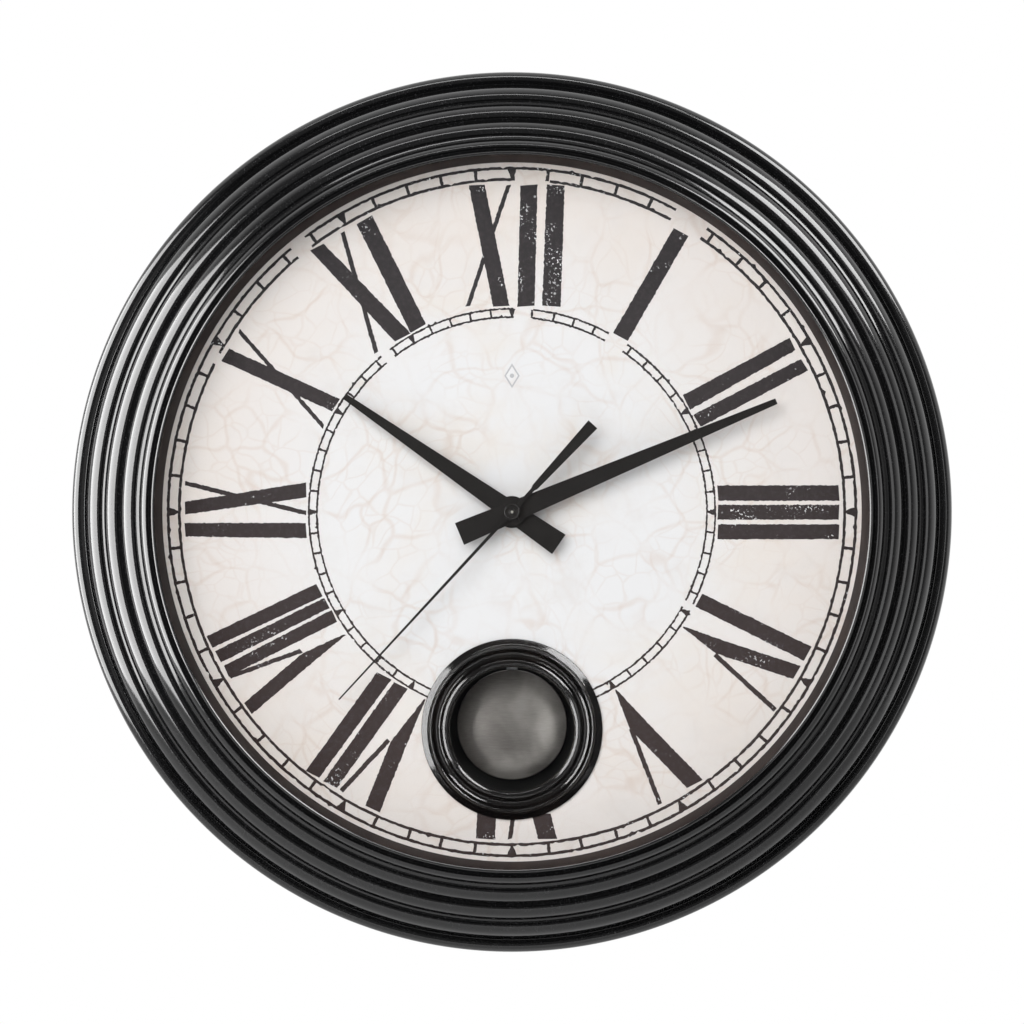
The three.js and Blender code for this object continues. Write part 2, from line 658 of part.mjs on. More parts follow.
// Plate that carries the front pivots of the train.
function trainBridge() {
  const { left, right, bottom, top, corner } = BRIDGE;
  const plate = prism(roundedRect(left, right, bottom, top, corner), bridgeZ, bridgeTop);
  const below = bridgeZ - 1;
  const above = bridgeTop + 1;
  const centre = disc(minuteTube + 0.5, below, above, 12);
  const arbors = [thirdAt, intermediateAt, rotorAt, motionAt];
  const pivots = arbors.map((at) => disc(PIVOT_RADIUS + GAP, below, above, 8, at));
  return cut(plate, centre, ...pivots);
}

const dialWasher = () => tube(bushingRadius + GAP, HUB_RADIUS, nutSeat, washerTop, 16);
const dialNut = () => cut(
  disc(NUT_RADIUS, nutBase, nutTop, 6), disc(bushingRadius + GAP, nutBase - 1, nutTop + 1, 16),
);
const rubberWasher = () => tube(
  bushingRadius + GAP, RUBBER_RADIUS, moveFront + GAP, moveFront + GAP + RUBBER_THICKNESS, 20,
);

// ---- Motor and circuit --------------------------------------------------------------------
const statorZ = thirdZ - GAP;
const coreZ = statorZ + STATOR_THICKNESS + GAP;
const boardZ = rearInner + BOARD_SIZE.height;
const boardTop = boardZ + BOARD_SIZE.thickness;

function stator() {
  const hole = disc(ROTOR_MAGNET_RADIUS + 0.4, statorZ - 1, statorZ + 2, 16, rotorAt);
  return cut(prism(outline(STATOR), statorZ, statorZ + STATOR_THICKNESS), hole);
}

function motorCoil() {
  const { x, y, radius, length, coreLength, coreWidth } = MOTOR_COIL;
  const halfCore = coreLength / 2;
  const core = block(
    x - halfCore, x + halfCore, y - coreWidth / 2, y + coreWidth / 2, coreZ, coreZ + STATOR_THICKNESS,
  );
  const winding = new THREE.CylinderGeometry(radius, radius, length, 12);
  winding.rotateZ(Math.PI / 2);
  winding.translate(x, y, coreZ + STATOR_THICKNESS / 2);
  return joined(core, solid(winding));
}

function circuitBoard() {
  const { left, right, bottom, top } = BOARD_SIZE;
  return block(left, right, bottom, top, boardZ, boardTop);
}

function quartzCrystal() {
  const { x, y, radius, length } = CRYSTAL;
  const can = new THREE.CylinderGeometry(radius, radius, length, 10);
  can.rotateZ(Math.PI / 2);
  can.translate(x, y, boardTop + GAP + radius);
  return solid(can);
}

// ---- Battery ------------------------------------------------------------------------------
function battery() {
  const nub = 1;
  const half = BATTERY_LENGTH / 2;
  const radius = BATTERY_DIAMETER / 2;
  const geometry = new THREE.LatheGeometry([
    new THREE.Vector2(0, -half),
    new THREE.Vector2(radius - 0.6, -half),
    new THREE.Vector2(radius, -half + 0.6),
    new THREE.Vector2(radius, half - nub - 0.6),
    new THREE.Vector2(radius - 0.6, half - nub),
    new THREE.Vector2(BATTERY_NUB_RADIUS, half - nub),
    new THREE.Vector2(BATTERY_NUB_RADIUS, half),
    new THREE.Vector2(0, half),
  ], 16);
  geometry.rotateZ(-Math.PI / 2);
  geometry.translate(0, batteryY, batteryZ);
  return solid(geometry);
}

function contactPlate(x) {
  const half = CONTACT_WIDTH / 2;
  return block(x, x + CONTACT_THICKNESS, batteryY - half, batteryY + half, batteryZ - half, batteryZ + half);
}

const contactPositive = () => contactPlate(bayHalf - GAP - CONTACT_THICKNESS);

function contactNegative() {
  const height = 1.2;
  const plateX = -bayHalf + GAP;
  const spring = new THREE.CylinderGeometry(2.2, 4.2, height, 10);
  spring.rotateZ(-Math.PI / 2);
  spring.translate(plateX + CONTACT_THICKNESS - 0.1 + height / 2, batteryY, batteryZ);
  return joined(contactPlate(plateX), solid(spring));
}

// ---- Train --------------------------------------------------------------------------------
const cannonPhase = 0;
const secondsPinionPhase = 0;
const centrePhase = 0;
const thirdWheelPhase = matingPhase(
  THIRD_BEARING, MESH.seconds.pinion, secondsPinionPhase, MESH.seconds.wheel,
);
const thirdPinionPhase = matingPhase(THIRD_BEARING, MESH.third.wheel, centrePhase, MESH.third.pinion);
const motionWheelPhase = matingPhase(MOTION_BEARING, MESH.cannon.pinion, cannonPhase, MESH.cannon.wheel);
const hourPhase = 0;
const motionPinionPhase = matingPhase(MOTION_BEARING, MESH.motion.wheel, hourPhase, MESH.motion.pinion);
const knobPhase = matingPhase(KNOB_BEARING, MESH.cannon.wheel, motionWheelPhase, MESH.cannon.pinion);
const intermediatePinionPhase = matingPhase(
  INTERMEDIATE_BEARING, MESH.intermediate.wheel, 0, MESH.intermediate.pinion,
);
const rotorPhase = matingPhase(ROTOR_BEARING, MESH.rotor.wheel, 0, MESH.rotor.pinion);

function secondsWheel() {
  const { intermediate, seconds } = MESH;
  const top = secondsZ + WHEEL_THICKNESS;
  const pinionTop = thirdZ + WHEEL_THICKNESS + 0.1;
  return joined(
    gear(intermediate.wheel, intermediate.module, secondsZ, top, [0, 0]),
    gear(seconds.pinion, seconds.module, top - 0.2, pinionTop, [0, 0], secondsPinionPhase),
    disc(SECONDS_ARBOR_RADIUS, arborRear, secondHandZ + HAND_THICKNESS, 10),
  );
}

function thirdWheel() {
  const top = thirdZ + WHEEL_THICKNESS;
  const pinionTop = centreZ + WHEEL_THICKNESS + 0.1;
  return joined(
    gear(MESH.seconds.wheel, MESH.seconds.module, thirdZ, top, thirdAt, thirdWheelPhase),
    gear(MESH.third.pinion, thirdModule, top - 0.2, pinionTop, thirdAt, thirdPinionPhase),
    disc(PIVOT_RADIUS, arborRear, arborFront, 8, thirdAt),
  );
}

function centreWheel() {
  const wheel = gear(MESH.third.wheel, thirdModule, centreZ, centreZ + WHEEL_THICKNESS, [0, 0], centrePhase);
  return wheel.subtract(disc(minuteTube + GAP, centreZ - 1, centreZ + 3, 12));
}

function minuteArbor() {
  const flangeTop = centreZ - GAP;
  const top = handNutZ + HAND_NUT_HEIGHT;
  const flange = flangeTop - FLANGE_THICKNESS;
  const pinionTop = motionZ + WHEEL_THICKNESS + 0.2;
  const body = joined(
    disc(minuteTube, flange, top, 12),
    disc(minuteTube + ARBOR_FLANGE, flange, flangeTop, 12),
    gear(MESH.cannon.pinion, MESH.cannon.module, motionZ - 0.1, pinionTop, [0, 0], cannonPhase),
  );
  return body.subtract(disc(minuteBore, flangeTop - 2, top + 1, 12));
}

function motionWheel() {
  const top = motionZ + WHEEL_THICKNESS;
  const pinionTop = hourZ + WHEEL_THICKNESS + 0.1;
  return joined(
    gear(MESH.cannon.wheel, MESH.cannon.module, motionZ, top, motionAt, motionWheelPhase),
    gear(MESH.motion.pinion, hourModule, top - 0.2, pinionTop, motionAt, motionPinionPhase),
    disc(PIVOT_RADIUS, bridgeZ + 0.1, frontInner - GAP, 8, motionAt),
  );
}

function hourWheel() {
  const top = hourHandZ + HAND_THICKNESS + GAP;
  const body = joined(
    gear(MESH.motion.wheel, hourModule, hourZ, hourZ + WHEEL_THICKNESS, [0, 0], hourPhase),
    disc(hourTube, hourZ, top, 12),
  );
  return body.subtract(disc(hourBore, hourZ - 1, top + 1, 12));
}

function intermediateWheel() {
  const { module, pinion } = MESH.intermediate;
  const top = intermediateZ + WHEEL_THICKNESS;
  const pinionTop = secondsZ + WHEEL_THICKNESS + 0.1;
  return joined(
    gear(MESH.rotor.wheel, MESH.rotor.module, intermediateZ, top, intermediateAt),
    gear(pinion, module, top - 0.2, pinionTop, intermediateAt, intermediatePinionPhase),
    disc(PIVOT_RADIUS, arborRear, arborFront, 8, intermediateAt),
  );
}

const magnetZ = statorZ + STATOR_THICKNESS / 2 - ROTOR_MAGNET_LENGTH / 2;

function rotor() {
  const pinionTop = intermediateZ + WHEEL_THICKNESS + GAP + 0.1;
  return joined(
    gear(MESH.rotor.pinion, MESH.rotor.module, intermediateZ - 0.1, pinionTop, rotorAt, rotorPhase),
    disc(ROTOR_HUB_RADIUS, pinionTop - 0.1, magnetZ + ROTOR_MAGNET_LENGTH + 0.2, 10, rotorAt),
    disc(PIVOT_RADIUS, arborRear, arborFront, 8, rotorAt),
  );
}

const rotorMagnet = () => tube(
  ROTOR_HUB_RADIUS + GAP, ROTOR_MAGNET_RADIUS, magnetZ, magnetZ + ROTOR_MAGNET_LENGTH, 16, rotorAt,
);

function settingKnob() {
  const { module, pinion } = MESH.cannon;
  const knobTop = moveRear - GAP;
  return joined(
    gear(KNOB.teeth, KNOB.module, knobTop - KNOB.height, knobTop, knobAt),
    disc(KNOB_SHAFT_RADIUS, knobTop - 0.5, motionZ + 0.2, 10, knobAt),
    gear(pinion, module, motionZ - 0.1, motionZ + WHEEL_THICKNESS + 0.1, knobAt, knobPhase),
    disc(PIVOT_RADIUS, motionZ, frontInner - GAP, 8, knobAt),
  );
}

// ---- Hands --------------------------------------------------------------------------------
// Turns a body about the dial axis, clockwise seen from the front.
const clockwise = (body, degrees) => body.rotate([0, 0, -degrees]);

function barHand(length, z, bore, hub) {
  const half = HAND_TAIL_WIDTH / 2;
  const tip = HAND_TIP_WIDTH / 2;
  const blade = prism(outline([[-half, -HAND_TAIL], [half, -HAND_TAIL], [tip, length], [-tip, length]]),
    z, z + HAND_THICKNESS);
  const boss = disc(hub, z, z + HAND_THICKNESS, 20);
  return cut(joined(blade, boss), disc(bore, z - 1, z + 3, 12));
}

function hourHand() {
  const hand = barHand(footRadius - HOUR_TIP_GAP, hourHandZ, hourTube + GAP, HUB_RADIUS + 1);
  const collet = tube(hourTube + GAP, hourTube + GAP + COLLET_WALL, hourHandZ - 1.2, hourHandZ + 0.2, 12);
  return clockwise(hand.add(collet), HOUR_ANGLE);
}

function minuteHand() {
  const hand = barHand(footRadius - MINUTE_TIP_GAP, minuteHandZ, minuteTube + GAP, HUB_RADIUS);
  return clockwise(hand, MINUTE_ANGLE);
}

const handNut = () => tube(
  minuteTube + GAP, minuteTube + GAP + HAND_NUT_WALL, handNutZ, handNutZ + HAND_NUT_HEIGHT, 12,
);

function secondHand() {
  const z = secondHandZ;
  const right = [
    [SECOND_TAIL_WIDTH / 2, -SECOND_TAIL],
    ...SECOND_WAIST,
    [SECOND_TIP_WIDTH / 2, footRadius - SECOND_TIP_GAP],
  ];
  const left = right.map(([x, y]) => [-x, y]).reverse();
  const blade = prism(outline([...right, ...left]), z, z + HAND_THICKNESS / 2);
  const boss = disc(SECOND_BOSS_RADIUS, z, z + SECOND_BOSS_HEIGHT, 16);
  const bore = disc(SECONDS_ARBOR_RADIUS + GAP, z - 1, z + 3, 10);
  return clockwise(cut(joined(blade, boss), bore), SECOND_ANGLE);
}

// ---- Pendulum -----------------------------------------------------------------------------
const pendulumAxle = () => disc(AXLE_RADIUS, rearInner + GAP, frontInner - GAP, 8, [0, pivotY]);

function pendulumHanger() {
  const half = ARM_WIDTH / 2;
  const arm = prism(roundedRect(-half, half, hookY - half, pivotY, 1), armZ, armFront);
  const hub = disc(half, armZ - 0.6, armFront + 1.4, 12, [0, pivotY]);
  const hook = disc(HOOK_RADIUS, rodZ - 0.6, armZ + 0.2, 8, [0, hookY]);
  return cut(joined(arm, hub, hook), disc(AXLE_RADIUS + GAP, armZ - 2, armZ + 6, 10, [0, pivotY]));
}

const pendulumMagnet = () => disc(
  MAGNET_RADIUS, armFront + GAP, armFront + GAP + MAGNET_LENGTH, 16, [0, magnetY],
);
const pendulumCoil = () => tube(
  COIL_BORE, COIL_RADIUS, frontInner - GAP - COIL_LENGTH, frontInner - GAP, 16, [0, magnetY],
);

function pendulumRod() {
  const half = ROD_WIDTH / 2;
  const strip = prism(
    roundedRect(-half, half, bobY - ROD_END, rodTop, ROD_CORNER), rodZ, rodZ + ROD_THICKNESS,
  );
  return strip.subtract(disc(HOOK_RADIUS + GAP, rodZ - 1, rodZ + 3, 8, [0, hookY]));
}

function pendulumBob() {
  const points = [
    [0, bobBack],
    [BOB_RADIUS - BOB_CHAMFER, bobBack],
    [BOB_RADIUS, bobBack + BOB_CHAMFER],
  ];
  const segments = 5;
  for (let i = 0; i < segments; i += 1) {
    const radius = BOB_RADIUS * Math.cos((i / segments) * (Math.PI / 2));
    const height = BOB_CROWN * (1 - (radius / BOB_RADIUS) ** 2);
    points.push([radius, bobBack + BOB_EDGE + height]);
  }
  points.push([0, bobBack + BOB_EDGE + BOB_CROWN]);
  return turned(points, BOB_SIDES, [0, bobY]);
}

// Spring clip that holds the strip against the back of the bob.
function bobClip() {
  const side = CLIP_WIDTH / 2;
  const end = CLIP_HEIGHT / 2;
  const inner = ROD_WIDTH / 2 + GAP;
  const outside = block(-side, side, bobY - end, bobY + end, rodZ - CLIP_WALL, bobBack - 0.1);
  const channel = block(-inner, inner, bobY - end - 1, bobY + end + 1, rodZ - GAP, bobBack + 1);
  return cut(outside, channel);
}

// ---- Finishes -----------------------------------------------------------------------------
const finish = (color, roughness, metalness = 0) => ({ color, roughness, metalness });
const BLACK_CASE = finish(0x1b1b1d, 0.35);
const GLOSS_BLACK = finish(0x0d0b0b, 0.15);
const CLEAR = { color: 0xf2f6f7, roughness: 0.03, metalness: 0, transparent: true, opacity: 0.2 };
const DIAL_PRINT = finish(0xddd9d4, 0.6);
const HAND_BLACK = finish(0x171310, 0.4);
const PEWTER = finish(0x6e6b68, 0.38, 0.9);
const STEEL = finish(0xb5b6b8, 0.3, 1);
const BRASS = finish(0xb9974f, 0.35, 1);
const COPPER = finish(0xa85f33, 0.4, 1);
const BLACK_PLASTIC = finish(0x1c1c1c, 0.6);
const WHITE_PLASTIC = finish(0xd9d7cf, 0.5);
const RED_PLASTIC = finish(0xa8443a, 0.5);
const RUBBER = finish(0x202020, 0.9);
const BOARD = finish(0x2c5b3a, 0.6);
const MAGNET = finish(0x4a4a4e, 0.4, 0.8);
const CELL = finish(0x3c4a5a, 0.4, 0.3);

// ---- Assembly -----------------------------------------------------------------------------
const face = new THREE.Group();

function add(name, body, material) {
  const mesh = new THREE.Mesh(geometryOf(body), new THREE.MeshStandardMaterial(material));
  mesh.name = name;
  face.add(mesh);
}

add('bezel_ring', bezelRing(), BLACK_CASE);
add('glass_lens', glassLens(), CLEAR);
add('rehaut_ring', rehautRing(), GLOSS_BLACK);
add('dial_plate', dialPlate(), DIAL_PRINT);
add('window_ring', windowRing(), GLOSS_BLACK);
pegPlaces.forEach((at, i) => add(`window_clip_${i + 1}`, windowClip(at), STEEL));

add('back_cover', backCover(), BLACK_PLASTIC);
add('spacer_ring', spacerRing(), BLACK_PLASTIC);
screwPlaces.forEach((at, i) => add(`cover_screw_${i + 1}`, coverScrew(at), STEEL));
add('hanger_plate', hangerPlate(), STEEL);
add('hanger_rivet_left', hangerRivet(rivetPlaces[0]), STEEL);
add('hanger_rivet_right', hangerRivet(rivetPlaces[1]), STEEL);
add('wall_pad_left', wallPad(padPlaces[0]), RUBBER);
add('wall_pad_right', wallPad(padPlaces[1]), RUBBER);

add('rubber_washer', rubberWasher(), RUBBER);
add('dial_washer', dialWasher(), STEEL);
add('dial_nut', dialNut(), BRASS);
add('movement_front_case', movementFrontCase(), BLACK_PLASTIC);
add('movement_rear_case', movementRearCase(), BLACK_PLASTIC);
add('train_bridge', trainBridge(), WHITE_PLASTIC);
add('stator', stator(), STEEL);
add('motor_coil', motorCoil(), COPPER);
add('circuit_board', circuitBoard(), BOARD);
add('quartz_crystal', quartzCrystal(), STEEL);
add('battery', battery(), CELL);
add('contact_positive', contactPositive(), STEEL);
add('contact_negative', contactNegative(), STEEL);
add('pendulum_coil', pendulumCoil(), COPPER);
add('pendulum_axle', pendulumAxle(), STEEL);

add('rotor', rotor(), RED_PLASTIC);
add('rotor_magnet', rotorMagnet(), MAGNET);
add('intermediate_wheel', intermediateWheel(), WHITE_PLASTIC);
add('seconds_wheel', secondsWheel(), WHITE_PLASTIC);
add('third_wheel', thirdWheel(), WHITE_PLASTIC);
add('centre_wheel', centreWheel(), RED_PLASTIC);
add('minute_arbor', minuteArbor(), BRASS);
add('motion_wheel', motionWheel(), WHITE_PLASTIC);
add('hour_wheel', hourWheel(), WHITE_PLASTIC);
add('setting_knob', settingKnob(), BLACK_PLASTIC);

add('hour_hand', hourHand(), HAND_BLACK);
add('minute_hand', minuteHand(), HAND_BLACK);
add('hand_nut', handNut(), BRASS);
add('second_hand', secondHand(), HAND_BLACK);

add('pendulum_hanger', pendulumHanger(), BLACK_PLASTIC);
add('pendulum_magnet', pendulumMagnet(), MAGNET);
add('pendulum_rod', pendulumRod(), STEEL);
add('pendulum_bob', pendulumBob(), PEWTER);
add('bob_clip', bobClip(), STEEL);

face.position.set(0, 0, -hangerY);
face.rotation.x = Math.PI / 2;
const clock = new THREE.Group();
clock.add(face);

export default clock;
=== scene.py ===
"""Looks of a pendulum wall clock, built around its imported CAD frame.

Shapes are drawn in face millimetres: x to the right, y up and z out of the wall, all from the
dial's centre. place() turns them into the frame's metres.
"""

import math
import random

import bmesh
import bpy
from bpy.props import FloatProperty, FloatVectorProperty, IntProperty, PointerProperty
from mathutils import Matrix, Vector
from mathutils.geometry import tessellate_polygon


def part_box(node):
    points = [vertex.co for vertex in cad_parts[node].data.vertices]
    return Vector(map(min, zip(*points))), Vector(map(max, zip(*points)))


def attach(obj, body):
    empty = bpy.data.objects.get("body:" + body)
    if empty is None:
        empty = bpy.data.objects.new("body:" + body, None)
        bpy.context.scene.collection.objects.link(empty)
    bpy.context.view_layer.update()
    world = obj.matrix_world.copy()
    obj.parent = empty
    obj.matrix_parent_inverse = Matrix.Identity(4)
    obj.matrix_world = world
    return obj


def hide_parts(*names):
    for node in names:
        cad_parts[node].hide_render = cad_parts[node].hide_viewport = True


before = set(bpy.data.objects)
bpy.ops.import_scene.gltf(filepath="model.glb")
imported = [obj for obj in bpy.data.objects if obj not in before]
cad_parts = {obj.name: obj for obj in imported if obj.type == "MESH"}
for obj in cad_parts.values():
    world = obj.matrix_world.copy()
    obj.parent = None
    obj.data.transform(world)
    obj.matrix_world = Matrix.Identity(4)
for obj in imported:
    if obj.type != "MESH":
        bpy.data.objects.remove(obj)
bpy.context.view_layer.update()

bl_info = {
    "name": "Pendulum wall clock",
    "version": (1, 0, 0),
    "blender": (4, 5, 0),
    "location": "3D View > Sidebar > Wall clock",
    "description": "Builds the looks of a stepped black wall clock with a window for its pendulum",
    "category": "Object",
}

MM = 0.001
FINE = 288  # sides of a large turned piece
SMALL = 64  # sides of a small one
TURNED = 48  # sides of a screw, rivet or collet
ROUND = 32  # sides of a hole or boss
SMOOTH_ANGLE = math.radians(32)
CASE = "clock_case"

low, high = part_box("seconds_wheel")
AXIS_HEIGHT = (low.z + high.z) / 2


# ---- Places ---------------------------------------------------------------------------------
def place(x, y, z):
    """A point in face millimetres as metres in the frame."""
    return (x * MM, -z * MM, y * MM + AXIS_HEIGHT)


def face_box(node):
    """Lowest and highest corner of a CAD node in face millimetres."""
    low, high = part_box(node)
    return (
        Vector((low.x, low.z - AXIS_HEIGHT, -high.y)) / MM,
        Vector((high.x, high.z - AXIS_HEIGHT, -low.y)) / MM,
    )


def middle(node):
    """Centre of a CAD node in the dial's plane."""
    low, high = face_box(node)
    return ((low.x + high.x) / 2, (low.y + high.y) / 2)


def polar(radius, degrees, at=(0, 0)):
    """A point at that many degrees from +x, counter-clockwise."""
    angle = math.radians(degrees)
    return (at[0] + radius * math.cos(angle), at[1] + radius * math.sin(angle))


def dial_point(sideways, radius, degrees):
    """A point on the dial beside the ray that stands that many degrees clockwise from twelve."""
    angle = math.radians(degrees)
    return (
        radius * math.sin(angle) + sideways * math.cos(angle),
        radius * math.cos(angle) - sideways * math.sin(angle),
    )


# ---- Settings -------------------------------------------------------------------------------
def length(name, millimetres, description):
    """A length that the user can change, kept in metres."""
    return FloatProperty(
        name=name,
        description=description,
        default=millimetres * MM,
        min=0,
        unit="LENGTH",
        subtype="DISTANCE",
        precision=5,
    )


def power(name, default, description):
    """A strength of light that the user can change."""
    return FloatProperty(name=name, description=description, default=default, min=0)


def colour(name, red, green, blue, description):
    """A colour that the user can change, given as it looks on a screen, 0 to 255."""
    return FloatVectorProperty(
        name=name,
        description=description,
        default=[seen(c) for c in (red, green, blue)],
        min=0,
        max=1,
        size=3,
        subtype="COLOR",
    )


def seen(value):
    """A screen value from 0 to 255 as linear light."""
    share = value / 255
    return share / 12.92 if share <= 0.04045 else ((share + 0.055) / 1.055) ** 2.4


class WallClockCase(bpy.types.PropertyGroup):
    """Moulding of the case."""

    bead: length("Bead", 6.2, "Width of the rounded bead at the rim")
    groove: length("Groove", 1.2, "Depth of the groove inside each step")
    easing: length("Edge easing", 0.45, "How far the moulding's edges are rounded")
    lip: length("Lip", 1.5, "Width of the lip in front of the lens")
    skin: length("Skin", 2.4, "Thickness of the moulding")


class WallClockPrint(bpy.types.PropertyGroup):
    """What is printed on the dial."""

    outer_line: length("Outer line", 171.6, "Radius of the minute track's outer line")
    outer_inner_line: length("Second line", 166.0, "Radius of the minute track's inner line")
    inner_line: length("Third line", 101.4, "Radius of the small track's outer line")
    inner_inner_line: length("Fourth line", 97.3, "Radius of the small track's inner line")
    numeral_top: length("Numeral top", 163.2, "Radius where the numerals begin")
    numeral_foot: length("Numeral foot", 102.7, "Radius where the numerals end")
    thickness: length("Ink thickness", 0.05, "How far the ink stands on the dial")
    roughness: length("Ragged edge", 0.11, "How ragged the worn print's edges are")
    seed: IntProperty(name="Wear seed", description="Which ragged edge is drawn", default=7)


class WallClockFinish(bpy.types.PropertyGroup):
    """Colours of the clock's finishes."""

    lacquer: colour("Case lacquer", 17, 17, 18, "Black of the case")
    fleck: colour("Case fleck", 78, 78, 80, "Fine flecks in the case's lacquer")
    gloss: colour("Window black", 12, 10, 10, "Black of the window ring")
    inner: colour("Inner ring", 28, 17, 15, "Brown black of the sloping inner ring")
    paper: colour("Dial white", 228, 228, 229, "White of the dial")
    # The dial edge colour is darker and warmer than the white: partly a warm tint, partly painted shade where
    # the case shades the dial's rim.
    edge: colour("Dial edge", 224, 213, 205, "Warmer white towards the dial's edge")
    warm: colour("Dial warm tint", 226, 219, 211, "Warm clouds in the dial's print")
    vein: colour("Dial vein", 205, 184, 170, "Veins in the dial's print")
    ink: colour("Ink", 34, 30, 32, "Printed numerals and tracks")
    hand: colour("Hands", 12, 8, 6, "Black of the hands")
    bob: colour("Bob", 168, 165, 160, "Metal of the pendulum bob")
    emblem: colour("Ornament", 172, 174, 178, "Small ornament under twelve")


class WallClockStage(bpy.types.PropertyGroup):
    """Camera, floor and light."""

    distance: length("Camera distance", 12000, "From the camera to the wall")
    width: length("Picture width", 512.6, "Width of the picture at the clock")
    floor_drop: length("Floor", 1300, "From the dial's centre down to the floor")
    floor_size: length("Floor size", 5000, "Side of the floor")
    surround: power("Surround", 0.2, "Light from the room in front of the clock")
    backlight: power("Backlight", 1.0, "Light from the room behind the clock")
    side: power("Side softbox", 330, "Power of the large left softbox")
    corner: power("Corner softbox", 60, "Power of the upper right softbox")
    right: power("Right panel", 15, "Power of the dim panel on the right")
    fill: power("Front fill", 128, "Power of the large soft light in front")
    top: power("Top strip", 9, "Power of the narrow light overhead")


class WallClockSettings(bpy.types.PropertyGroup):
    """All settings of the clock."""

    case: PointerProperty(type=WallClockCase)
    printing: PointerProperty(type=WallClockPrint)
    finish: PointerProperty(type=WallClockFinish)
    stage: PointerProperty(type=WallClockStage)


# ---- Shader maths ---------------------------------------------------------------------------
class Socket:
    """An output of a node. Arithmetic on it adds Math nodes."""

    def __init__(self, tree, output):
        self.tree, self.output = tree, output

    def __add__(self, other):
        return self.tree.math("ADD", self, other)

    def __sub__(self, other):
        return self.tree.math("SUBTRACT", self, other)

    def __rsub__(self, other):
        return self.tree.math("SUBTRACT", other, self)

    def __mul__(self, other):
        return self.tree.math("MULTIPLY", self, other)

    __radd__ = __add__
    __rmul__ = __mul__


class Tree:
    """A node tree with short ways to add to it."""

    def __init__(self, node_tree):
        self.nodes, self.links = node_tree.nodes, node_tree.links
        self.nodes.clear()

    def node(self, kind, settings=None, inputs=None):
        """Adds a node, sets its settings, then its sockets by name or number."""
        made = self.nodes.new(kind)
        for key, value in (settings or {}).items():
            setattr(made, key, value)
        for key, value in (inputs or {}).items():
            self.feed(made.inputs[key], value)
        return made

    def feed(self, socket, value):
        if isinstance(value, Socket):
            self.links.new(value.output, socket)
        elif hasattr(value, "__len__") and socket.type == "RGBA":
            socket.default_value = (*tuple(value)[:3], 1)
        else:
            socket.default_value = value

    def out(self, node, key=0):
        return Socket(self, node.outputs[key])

    def math(self, operation, *values):
        return self.out(self.node("ShaderNodeMath", {"operation": operation}, dict(enumerate(values))))

    def mix(self, factor, first, second, blend="MIX"):
        """Colour between two others."""
        settings = {"data_type": "RGBA", "blend_type": blend, "clamp_factor": True}
        made = self.node("ShaderNodeMix", settings, {0: factor, 6: first, 7: second})
        return self.out(made, 2)

    def position(self):
        return self.out(self.node("ShaderNodeTexCoord"), "Object")

    def axes(self, vector):
        split = self.node("ShaderNodeSeparateXYZ", None, {0: vector})
        return [self.out(split, axis) for axis in range(3)]

    def stretched(self, x, y, z):
        """The position, scaled along each axis, for a grain that runs one way."""
        settings = {"operation": "MULTIPLY"}
        return self.out(self.node("ShaderNodeVectorMath", settings, {0: self.position(), 1: (x, y, z)}))

    def noise(self, scale, detail=2.0, rough=0.5, warp=0.0, at=None, colours=False):
        inputs = {"Vector": at or self.position(), "Scale": scale, "Detail": detail}
        inputs.update({"Roughness": rough, "Distortion": warp})
        return self.out(self.node("ShaderNodeTexNoise", None, inputs), 1 if colours else 0)

    def cells(self, scale, feature="F1", key="Distance", at=None):
        inputs = {"Vector": at or self.position(), "Scale": scale}
        return self.out(self.node("ShaderNodeTexVoronoi", {"feature": feature}, inputs), key)

    def rise(self, value, start, end, least=0.0, most=1.0):
        """Smoothly from least to most as the value goes from start to end."""
        settings = {"interpolation_type": "SMOOTHSTEP"}
        inputs = {0: value, 1: start, 2: end, 3: least, 4: most}
        return self.out(self.node("ShaderNodeMapRange", settings, inputs))


class Look(Tree):
    """One procedural finish."""

    def __init__(self, name):
        self.material = bpy.data.materials.new(name)
        self.material.use_nodes = True
        super().__init__(self.material.node_tree)

    def done(self, base, roughness, height=None, depth=0.1, metallic=0.0, **fixed):
        """Ends the finish. depth is the relief's full height in millimetres."""
        inputs = {"Base Color": base, "Roughness": roughness, "Metallic": metallic}
        inputs.update({key.replace("_", " "): value for key, value in fixed.items()})
        if height is not None:
            relief = {"Height": height, "Distance": depth * MM, "Strength": 1.0}
            inputs["Normal"] = self.out(self.node("ShaderNodeBump", None, relief))
        shader = self.node("ShaderNodeBsdfPrincipled", None, inputs)
        self.node("ShaderNodeOutputMaterial", None, {"Surface": self.out(shader)})
        return self.material


# ---- Finishes -------------------------------------------------------------------------------
def grey(value):
    """A neutral colour from a screen value."""
    return (seen(value),) * 3


def tinted(red, green, blue):
    return tuple(seen(c) for c in (red, green, blue))


def lacquer(look, tint):
    """Satin black lacquer with fine pale flecks and a slight orange peel."""
    speck = look.axes(look.cells(2200, key="Color"))[0]
    flecks = look.rise(speck + look.noise(90, 3) * 0.2, 1.0, 1.12)
    cloud = look.noise(9, 3, 0.5)
    base = look.mix(flecks * 0.3, look.mix(cloud * 0.5, tint.lacquer, grey(9)), tint.fleck)
    return look.done(base, 0.09 + cloud * 0.05 + flecks * 0.04, look.noise(240, 2), 0.003)


def gloss(look, tint):
    """Moulded gloss black, a little brown, with handling haze."""
    haze = look.noise(38, 4, 0.65)
    base = look.mix(look.rise(haze, 0.45, 0.75), tint.gloss, tinted(24, 19, 17))
    return look.done(base, 0.07 + haze * 0.08, look.noise(260, 2), 0.002)


def shade_ring(look, tint):
    """Moulded brown-black of the inner ring, nearly matt."""
    haze = look.noise(55, 4, 0.65)
    base = look.mix(look.rise(haze, 0.4, 0.75), tint.inner, tinted(46, 34, 30))
    return look.done(base, 0.46 + haze * 0.12, look.noise(420, 2), 0.01, Specular_IOR_Level=0.12)


